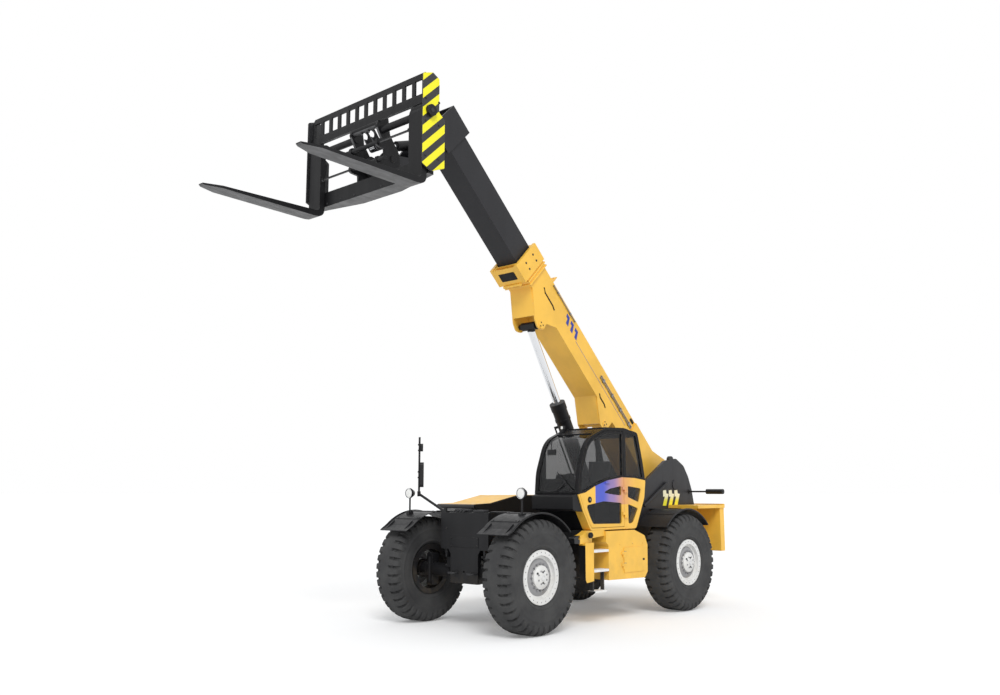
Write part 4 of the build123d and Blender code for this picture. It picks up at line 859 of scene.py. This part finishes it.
# ---- simple pieces
def add_box(bm, low, high, bevel=0.003):
    """Box between two corners with chamfered edges."""
    made = bmesh.ops.create_cube(bm, size=1.0)["verts"]
    mid = [(a + b) / 2 for a, b in zip(low, high)]
    size = [b - a for a, b in zip(low, high)]
    for v in made:
        v.co = Vector([m + c * s for m, c, s in zip(mid, v.co, size)])
    if bevel:
        edges = {e for v in made for e in v.link_edges}
        bmesh.ops.bevel(bm, geom=list(edges), offset=min(bevel, min(size) * 0.3), segments=2,
                        profile=0.7, affect="EDGES")


def add_xz_prism(bm, outline, y0, y1):
    """Prism with an outline in row X and Z between two planes in Y."""
    skin(bm, [[bm.verts.new((x, y, z)) for x, z in outline] for y in (y0, y1)])


# ---- fenders
FENDER_R, FENDER_Y0, FENDER_Y1 = 0.890, 0.740, 1.350


def fender_trim(corner):
    """Rolled outer edge and three pressed straps with bolts."""
    hub = Vector(JOINTS["roll_" + corner]["pos_m"])
    side = math.copysign(1.0, hub.y)
    front = corner.startswith("front")
    start, end = (50.5 if front else 43.5), 136.5

    def at(angle, radius, y):
        a = math.radians(angle)
        return Vector((hub.x + radius * math.cos(a), side * y, hub.z + radius * math.sin(a)))

    bm = bmesh.new()
    count = 26
    edge = [at(start + (end - start) * i / count, FENDER_R + 0.008, FENDER_Y1 - 0.006)
            for i in range(count + 1)]
    if front:
        edge.insert(0, Vector((hub.x + 0.695, side * (FENDER_Y1 - 0.006), hub.z + 0.612)))
    add_tube(bm, edge, 0.009, 8)
    for mid in ((62.0, 84.0, 118.0) if front else (66.0, 98.0, 126.0)):
        rings = []
        for i in range(7):
            y = FENDER_Y0 + 0.03 + (FENDER_Y1 - FENDER_Y0 - 0.09) * i / 6
            ring = [bm.verts.new(at(mid + da, FENDER_R + dr, y)) for da, dr in
                    ((-1.9, -0.001), (-1.4, 0.009), (1.4, 0.009), (1.9, -0.001))]
            rings.append(ring)
        skin(bm, rings, caps=False)
        bm.faces.new(rings[0])
        bm.faces.new(list(reversed(rings[-1])))
        out = (math.cos(math.radians(mid)), 0.0, math.sin(math.radians(mid)))
        for y in (FENDER_Y0 + 0.07, FENDER_Y1 - 0.11):
            add_bolt(bm, at(mid, FENDER_R + 0.008, y), out, 0.009, 0.007)
    piece("fender_trim_" + corner, bm, "plastic")


# ---- ladder
def ladder_treads():
    """Pale studded caps over the three steps."""
    bm = bmesh.new()
    for x0, x1, y0, top, thick in ((-1.052, -0.682, 1.132, 1.120, 0.034),
                                   (-1.052, -0.682, 1.132, 0.827, 0.034),
                                   (-0.993, -0.702, 1.152, 0.514, 0.024)):
        outline = [(y0, top), (1.2945, top), (1.2945, top - thick), (1.2975, top - thick),
                   (1.2975, top + 0.003), (y0, top + 0.003)]
        skin(bm, [[bm.verts.new((x, y, z)) for y, z in outline] for x in (x0, x1)])
        columns = 9
        for i in range(columns):
            for j in range(3):
                spot = Vector((x0 + (x1 - x0) * (i + 0.5) / columns,
                               y0 + 0.035 + 0.045 * j, top + 0.003))
                add_lathe(bm, [(0.008, -0.001), (0.007, 0.002), (0.004, 0.003)],
                          Matrix.Translation(spot), 10)
    piece("ladder_treads", bm, "tread")


# ---- mirrors
def mirror_faces():
    """Glass of the three mirrors, and the clamps on the front mirror's mast."""
    bm = bmesh.new()
    mast = Vector((0.765, -1.055, 0.0))
    turn = math.radians(138.7)
    ahead = Vector((math.cos(turn), math.sin(turn), 0))
    across = Vector((-math.sin(turn), math.cos(turn), 0))
    for z, off, slide, width, height, radius in ((2.265, 0.0645, 0.020, 0.190, 0.360, 0.034),
                                                 (2.695, 0.0515, 0.010, 0.126, 0.096, 0.021)):
        spot = mast + Vector((0, 0, z)) + ahead * off + across * slide
        add_prism(bm, rounded(width, height, radius), axes(spot, across, (0, 0, 1)), 0.002, 0.001)
    spot = Vector((-4.5640, 1.145, 1.996))
    add_prism(bm, rounded(0.310, 0.070, 0.01), axes(spot, (0, -1, 0), (0, 0, 1)), 0.002, 0.001)
    piece("mirror_faces", bm, "mirror")
    bm = bmesh.new()
    for z in (2.265, 2.695):
        for dz in (-0.045, 0.045):
            ring = mast + Vector((0, 0, z + dz))
            add_lathe(bm, [(0.024, -0.012), (0.026, -0.008), (0.026, 0.008), (0.024, 0.012)],
                      Matrix.Translation(ring), 20)
    piece("mirror_clamps", bm, "trim")


# ---- cab
def cab_trim():
    """Dash cover, wiper, inner mirror and screen."""
    bm = bmesh.new()
    hood = [(-0.70, 1.66), (-0.43, 1.80), (-0.418, 2.03), (-0.44, 2.15), (-0.50, 2.195),
            (-0.60, 2.185), (-0.66, 2.10), (-0.70, 1.96)]
    add_xz_prism(bm, hood, 0.475, 1.185)
    add_xz_prism(bm, [(-0.62, 2.18), (-0.50, 2.19), (-0.53, 2.265), (-0.60, 2.26)], 0.70, 0.96)
    add_box(bm, (-0.86, 0.50, 1.47), (-0.70, 0.60, 1.95), 0.02)
    add_box(bm, (-1.62, 0.47, 1.47), (-0.95, 0.565, 2.02), 0.03)
    piece("dash_cover", bm, "trim")
    bm = bmesh.new()
    add_box(bm, (-0.535, 0.53, 2.565), (-0.515, 0.70, 2.655), 0.008)
    add_tube(bm, [(-0.525, 0.60, 2.62), (-0.55, 0.585, 2.73), (-0.59, 0.56, 2.80)], 0.007, 8)
    add_tube(bm, [(-0.362, 0.80, 1.985), (-0.354, 0.93, 2.07), (-0.360, 1.06, 2.17)], 0.006, 8)
    add_tube(bm, [(-0.352, 0.86, 2.30), (-0.351, 1.02, 2.13), (-0.350, 1.15, 2.02)], 0.007, 8)
    piece("wiper_and_mirror", bm, "plastic")
    bm = bmesh.new()
    add_box(bm, (-0.676, 1.02, 2.06), (-0.662, 1.16, 2.17), 0.004)
    piece("dash_screen", bm, "screen")


def door_trim():
    """Lock button with its round bezel."""
    at = frame_at((-0.640, 1.2605, 1.880), (0, 1, 0))
    bm = bmesh.new()
    add_lathe(bm, [(0.046, -0.002), (0.046, 0.006), (0.040, 0.010), (0.030, 0.010),
                   (0.028, 0.004), (0.002, 0.004)], at, 32)
    piece("door_bezel", bm, "trim", "cab_door")
    bm = bmesh.new()
    add_lathe(bm, [(0.016, 0.003), (0.016, 0.012), (0.013, 0.014), (0.002, 0.014)], at, 24)
    piece("door_button", bm, "steel", "cab_door")


# ---- locker and nose
def locker_trim():
    """The side box's latch, screws and bolts, and the buffer ahead of the ladder."""
    bm = bmesh.new()
    add_box(bm, (-2.010, 1.2955, 0.913), (-1.960, 1.3045, 0.942), 0.003)
    piece("locker_latch", bm, "trim", "side_box_door")
    bm = bmesh.new()
    add_lathe(bm, [(0.044, 0.0), (0.044, 0.030), (0.040, 0.036), (0.022, 0.038), (0.018, 0.030)],
              frame_at((-0.580, 1.2990, 1.350), (0, 1, 0)), 24)
    piece("step_buffer", bm, "trim")
    bm = bmesh.new()
    for z in (0.868, 1.048):
        for x in (-1.468, -1.500):
            add_bolt(bm, (x, 1.302, z + 0.022), (0, 1, 0), 0.006, 0.004)
    piece("locker_screws", bm, "steel", "side_box_door")
    bm = bmesh.new()
    for x in (-1.05, -1.36, -1.70, -1.98):
        add_bolt(bm, (x, 1.2900, 1.185), (0, 1, 0), 0.010, 0.007)
    piece("box_bolts", bm, "yellow")


def nose_trim():
    """Blank plate, tow loops and deck fittings at the front of the frame."""
    x, bm = NOSE_X, bmesh.new()
    add_box(bm, (x - 0.002, -0.30, 1.180), (x + 0.007, 0.30, 1.330), 0.003)
    for y in (-0.27, 0.27):
        for z in (1.205, 1.305):
            add_bolt(bm, (x + 0.007, y, z), (1, 0, 0), 0.009, 0.007)
    for y in (-0.38, 0.38):
        for z in (0.90, 1.05, 1.45):
            add_bolt(bm, (x, y, z), (1, 0, 0), 0.012, 0.009)
    piece("nose_plate", bm, "black")
    bm = bmesh.new()
    for side in (-1, 1):
        base = 0.20 * side
        add_tube(bm, [(x - 0.01, base - 0.06, 0.80), (x + 0.07, base - 0.06, 0.80),
                      (x + 0.10, base - 0.03, 0.80), (x + 0.10, base + 0.03, 0.80),
                      (x + 0.07, base + 0.06, 0.80), (x - 0.01, base + 0.06, 0.80)], 0.014, 12)
    piece("tow_loops", bm, "cast")
    bm = bmesh.new()
    add_box(bm, (0.620, -0.32, 1.690), (0.690, 0.00, 1.740), 0.012)
    add_box(bm, (0.620, 0.12, 1.690), (0.740, 0.34, 1.730), 0.010)
    for y in (-0.26, -0.19, -0.12, -0.05):
        add_tube(bm, [(0.680, y, 1.718), (0.715, y, 1.720), (0.745, y - 0.02, 1.708),
                      (0.755, y - 0.03, 1.688)], 0.010, 10)
        add_lathe(bm, [(0.015, 0.0), (0.015, 0.018), (0.011, 0.022)],
                  frame_at((0.688, y, 1.718), (1, 0, 0)), 6)
    piece("deck_fittings", bm, "cast")


# ---- lift carriage
def carriage_trim():
    """Bolts on the side plates, the rail and the beam, and a ring on each side plate."""
    bm = bmesh.new()
    for side in (-1, 1):
        for x, z in ((2.62, 6.42), (2.86, 6.42), (2.62, 6.90), (2.86, 6.90), (2.86, 7.22),
                     (2.62, 7.22)):
            add_bolt(bm, (x, side * 1.297, z), (0, side, 0), 0.013, 0.010)
        for y in (0.30, 0.62, 0.94, 1.20):
            add_bolt(bm, (2.8500, side * y, 7.292), (1, 0, 0), 0.009, 0.007)
            add_bolt(bm, (2.7800, side * y, 6.240), (1, 0, 0), 0.012, 0.009)
        ring = frame_at((2.78, side * 1.345, 7.060), (0, side, 0))
        add_lathe(bm, [(0.030, -0.001), (0.030, 0.004), (0.006, 0.004)], ring, 24)
    piece("carriage_bolts", bm, "cast", "carriage")


# ---- rear
def rear_lamps():
    """Flush lamp pairs with rims in the back of the counterweight."""
    places = (("amber", 1.06), ("red", 0.93))
    for name, y in places:
        bm = bmesh.new()
        for side in (-1, 1):
            at = frame_at((TAIL_X + 0.0035, side * y, REAR_LAMP_Z), (-1, 0, 0))
            add_lathe(bm, [(0.047, 0.0), (0.047, 0.003), (0.040, 0.0038), (0.002, 0.004)], at, 28)
        piece("rear_lamp_" + name, bm, name)
    bm = bmesh.new()
    for side in (-1, 1):
        for _, y in places:
            at = frame_at((TAIL_X + 0.003, side * y, REAR_LAMP_Z), (-1, 0, 0))
            add_lathe(bm, [(0.048, 0.0), (0.056, 0.0), (0.056, 0.0030), (0.048, 0.0036)], at, 28,
                      False)
    piece("rear_lamp_rims", bm, "trim")


def work_lens():
    """Square lens on the work light."""
    low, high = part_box("work_light")
    bm = bmesh.new()
    spot = Vector((high[0] - 0.002, (low[1] + high[1]) / 2, high[2] - 0.031))
    add_prism(bm, rounded(0.044, 0.044, 0.008), axes(spot, (0, 1, 0), (0, 0, 1)), 0.0025, 0.001)
    piece("work_light_lens", bm, "lens")


# ---- engine
def engine():
    """Six-cylinder engine in place of the plain block."""
    low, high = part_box("engine_block")
    x0, x1, z0 = low[0], high[0], low[2]
    mid = (low[1] + high[1]) / 2
    bm = bmesh.new()
    add_box(bm, (x0 + 0.12, mid - 0.17, z0 + 0.12), (x1 - 0.16, mid + 0.17, z0 + 0.52), 0.02)
    add_box(bm, (x0 + 0.20, mid - 0.13, z0), (x1 - 0.30, mid + 0.13, z0 + 0.14), 0.03)
    add_box(bm, (x0 + 0.14, mid - 0.12, z0 + 0.50), (x1 - 0.18, mid + 0.12, z0 + 0.58), 0.01)
    add_box(bm, (x0, mid - 0.20, z0 + 0.10), (x0 + 0.13, mid + 0.20, z0 + 0.50), 0.04)
    for i in range(6):
        x = x0 + 0.22 + (x1 - x0 - 0.44) * i / 5
        add_box(bm, (x - 0.07, mid - 0.09, z0 + 0.57), (x + 0.07, mid + 0.09, z0 + 0.645), 0.025)
        add_tube(bm, [(x, mid + 0.12, z0 + 0.53), (x, mid + 0.20, z0 + 0.53),
                      (x, mid + 0.235, z0 + 0.49)], 0.024, 10)
        add_bolt(bm, (x, mid, z0 + 0.645), (0, 0, 1), 0.012, 0.010)
    add_tube(bm, [(x0 + 0.20, mid + 0.24, z0 + 0.47), (x1 - 0.22, mid + 0.24, z0 + 0.47)],
             0.036, 14)
    obj = piece("engine_body", bm, "cast")
    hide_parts("engine_block")
    bm = bmesh.new()
    add_lathe(bm, [(0.075, 0.0), (0.085, 0.01), (0.085, 0.26), (0.075, 0.28)],
              frame_at((x0 + 0.40, mid - 0.20, z0 + 0.34), (1, 0, 0)), 28)
    for dx, radius in ((0.0, 0.11), (0.035, 0.07)):
        at = frame_at((x1 - 0.155 + dx, mid, z0 + 0.26), (1, 0, 0))
        add_lathe(bm, [(radius, 0.0), (radius - 0.012, 0.010), (radius - 0.012, 0.020),
                       (radius, 0.030)], at, 32)
    for i in range(7):
        a = 2 * math.pi * i / 7
        hub = Vector((x1 - 0.055, mid, z0 + 0.26))
        tip = hub + Vector((0.0, 0.24 * math.cos(a), 0.24 * math.sin(a)))
        add_prism(bm, [(-0.03, 0.03), (0.03, 0.03), (0.055, 0.24), (-0.045, 0.24)],
                  axes(hub, (0.25, -math.sin(a), math.cos(a)),
                       (tip - hub).normalized()), 0.004)
    piece("engine_parts", bm, "plastic")


# ---- seat
INFLATE_MAX = 0.011         # furthest that the cloth may move from its start
CHANNEL_W, CHANNEL_DEPTH = 0.011, 0.006
CHANNELS = (0.24, 0.76)     # sewn channels, as shares of the width


def cushion(name, low, high, tilt, pivot):
    """Padded block: rounded, inflated as cloth, then finished with sewn channels."""
    bm = bmesh.new()
    inset = 0.012
    add_box(bm, [a + inset for a in low], [b - inset for b in high], 0.03)
    turn = (Matrix.Translation(pivot) @ Matrix.Rotation(tilt, 4, "Y")
            @ Matrix.Translation(-Vector(pivot)))
    bm.transform(turn)
    obj = piece(name, bm, "cloth", "chassis", 0)
    scene = bpy.context.scene
    bpy.context.view_layer.objects.active = obj
    obj.select_set(True)
    remesh = obj.modifiers.new("voxels", "REMESH")
    remesh.mode = "VOXEL"
    remesh.voxel_size = 0.007
    bpy.ops.object.modifier_apply(modifier="voxels")
    start = [v.co.copy() for v in obj.data.vertices]
    cloth = obj.modifiers.new("air", "CLOTH")
    cloth.settings.use_pressure = True
    cloth.settings.uniform_pressure_force = 4.0
    cloth.settings.effector_weights.gravity = 0.0
    cloth.settings.quality = 5
    for step in range(1, 21):
        scene.frame_set(step)
    bpy.ops.object.modifier_apply(modifier="air")
    scene.frame_set(1)
    for v, old in zip(obj.data.vertices, start):
        move = v.co - old
        if move.length > INFLATE_MAX:
            v.co = old + move.normalized() * INFLATE_MAX
    back = turn.inverted()
    width = high[1] - low[1]
    lies_flat = high[2] - low[2] < 0.2
    facing = turn.to_3x3() @ Vector((0, 0, 1) if lies_flat else (1, 0, 0))
    for v in obj.data.vertices:
        across = ((back @ v.co).y - low[1]) / width
        depth = sum(math.exp(-((across - line) * width / CHANNEL_W) ** 2) for line in CHANNELS)
        face = max(0.0, v.normal.dot(facing))
        v.co -= v.normal * (CHANNEL_DEPTH * depth * face)
    smooth = obj.modifiers.new("round", "SUBSURF")
    smooth.levels = smooth.render_levels = 1
    bpy.ops.object.modifier_apply(modifier="round")
    obj.data.polygons.foreach_set("use_smooth", [True] * len(obj.data.polygons))
    obj.select_set(False)
    return obj


def seat():
    """Cushion and back in place of the plain seat, over a pan on two bent tubes."""
    low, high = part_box("seat")
    y0, y1 = low[1] + 0.015, high[1] - 0.015
    base = cushion("seat_cushion", (high[0] - 0.46, y0, low[2] + 0.03),
                   (high[0] - 0.005, y1, low[2] + 0.125), 0.0, (high[0], 0, low[2]))
    back = cushion("seat_back", (low[0] + 0.175, y0 + 0.01, low[2] + 0.155),
                   (low[0] + 0.265, y1 - 0.01, high[2] - 0.05), math.radians(-8.5),
                   (low[0] + 0.22, 0, low[2] + 0.12))
    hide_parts("seat")
    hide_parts("seat")
    bm = bmesh.new()
    add_box(bm, (high[0] - 0.45, y0 + 0.02, low[2] + 0.002), (high[0] - 0.03, y1 - 0.02,
                                                               low[2] + 0.035), 0.01)
    for y in (y0 + 0.03, y1 - 0.06):
        add_tube(bm, [(high[0] - 0.43, y + 0.015, low[2] + 0.02),
                      (low[0] + 0.13, y + 0.015, low[2] + 0.08),
                      (low[0] + 0.115, y + 0.015, low[2] + 0.20),
                      (low[0] + 0.07, y + 0.015, low[2] + 0.50)], 0.012, 10)
    piece("seat_frame", bm, "trim")


CAMERA_AT = (10.974, 10.206, 2.030)
CAMERA_RISE, CAMERA_HEADING = 8.56, 222.96   # degrees


def camera():
    """The photo's camera, solved from it."""
    data = bpy.data.cameras.new("camera")
    data.lens = 34.01
    data.sensor_width = 36.0
    obj = place("camera", data)
    obj.location = CAMERA_AT
    obj.rotation_euler = (math.radians(90 + CAMERA_RISE), 0.0, math.radians(CAMERA_HEADING - 90))
    bpy.context.scene.camera = obj


def world():
    """White to camera, glossy and transmission rays; a soft sky to the rest."""
    sky = bpy.data.worlds.new("studio")
    bpy.context.scene.world = sky
    sky.use_nodes = True
    tree = sky.node_tree
    out = tree.nodes["World Output"]
    soft = tree.nodes["Background"]
    soft.inputs["Color"].default_value = (0.97, 0.985, 1.0, 1.0)
    soft.inputs["Strength"].default_value = 0.62
    white = tree.nodes.new("ShaderNodeBackground")
    white.inputs["Color"].default_value = (1.0, 1.0, 1.0, 1.0)
    white.inputs["Strength"].default_value = 1.0
    path = tree.nodes.new("ShaderNodeLightPath")
    bright = path.outputs["Is Camera Ray"]
    for ray in ("Is Transmission Ray", "Is Glossy Ray"):
        node = tree.nodes.new("ShaderNodeMath")
        node.operation = "MAXIMUM"
        tree.links.new(bright, node.inputs[0])
        tree.links.new(path.outputs[ray], node.inputs[1])
        bright = node.outputs[0]
    mix = tree.nodes.new("ShaderNodeMixShader")
    tree.links.new(bright, mix.inputs["Fac"])
    tree.links.new(soft.outputs[0], mix.inputs[1])
    tree.links.new(white.outputs[0], mix.inputs[2])
    tree.links.new(mix.outputs[0], out.inputs["Surface"])


def sun(name, direction, strength, angle):
    data = bpy.data.lights.new(name, "SUN")
    data.energy = strength
    data.angle = math.radians(angle)
    obj = place(name, data)
    obj.rotation_euler = Vector(direction).to_track_quat("-Z", "Y").to_euler()


FLOOR_GLOW, FLOOR_HALF = 0.16, 400.0


def floor():
    """White ground whose glow shows to the camera alone."""
    mesh = bpy.data.meshes.new("floor")
    square = ((-1, -1), (1, -1), (1, 1), (-1, 1))
    mesh.from_pydata([(FLOOR_HALF * x, FLOOR_HALF * y, 0) for x, y in square],
                     [], [(0, 1, 2, 3)])
    obj = place("floor", mesh)
    m = Mat("floor")
    tone = m.mix(m.ramp(m.noise(0.8, 3.0, 0.5), 0.3, 0.7), (0.93, 0.93, 0.93), (0.92, 0.92, 0.92))
    path = m.new("LightPath")
    seen = m.mul(path.outputs["Is Camera Ray"], FLOOR_GLOW)
    mesh.materials.append(m.set(Base_Color=tone, Roughness=0.9, Specular_IOR_Level=0.2,
                                Emission_Color=(1.0, 1.0, 1.0), Emission_Strength=seen))


for build in (tyre, wheel_trim):
    for corner in CORNERS:
        build(corner)
for build in (boom_decals, boom_slot_shadows_and_covers, tower_decals, boom_bolts, lamps):
    build()
for corner in CORNERS:
    fender_trim(corner)
for build in (ladder_treads, mirror_faces, cab_trim, door_trim, locker_trim, nose_trim,
              carriage_trim, rear_lamps, work_lens, engine, seat):
    build()

camera()
world()
sun("key", (-0.55, -0.62, -0.75), 1.7, 24.0)
floor()
bpy.context.scene.view_settings.view_transform = "Standard"
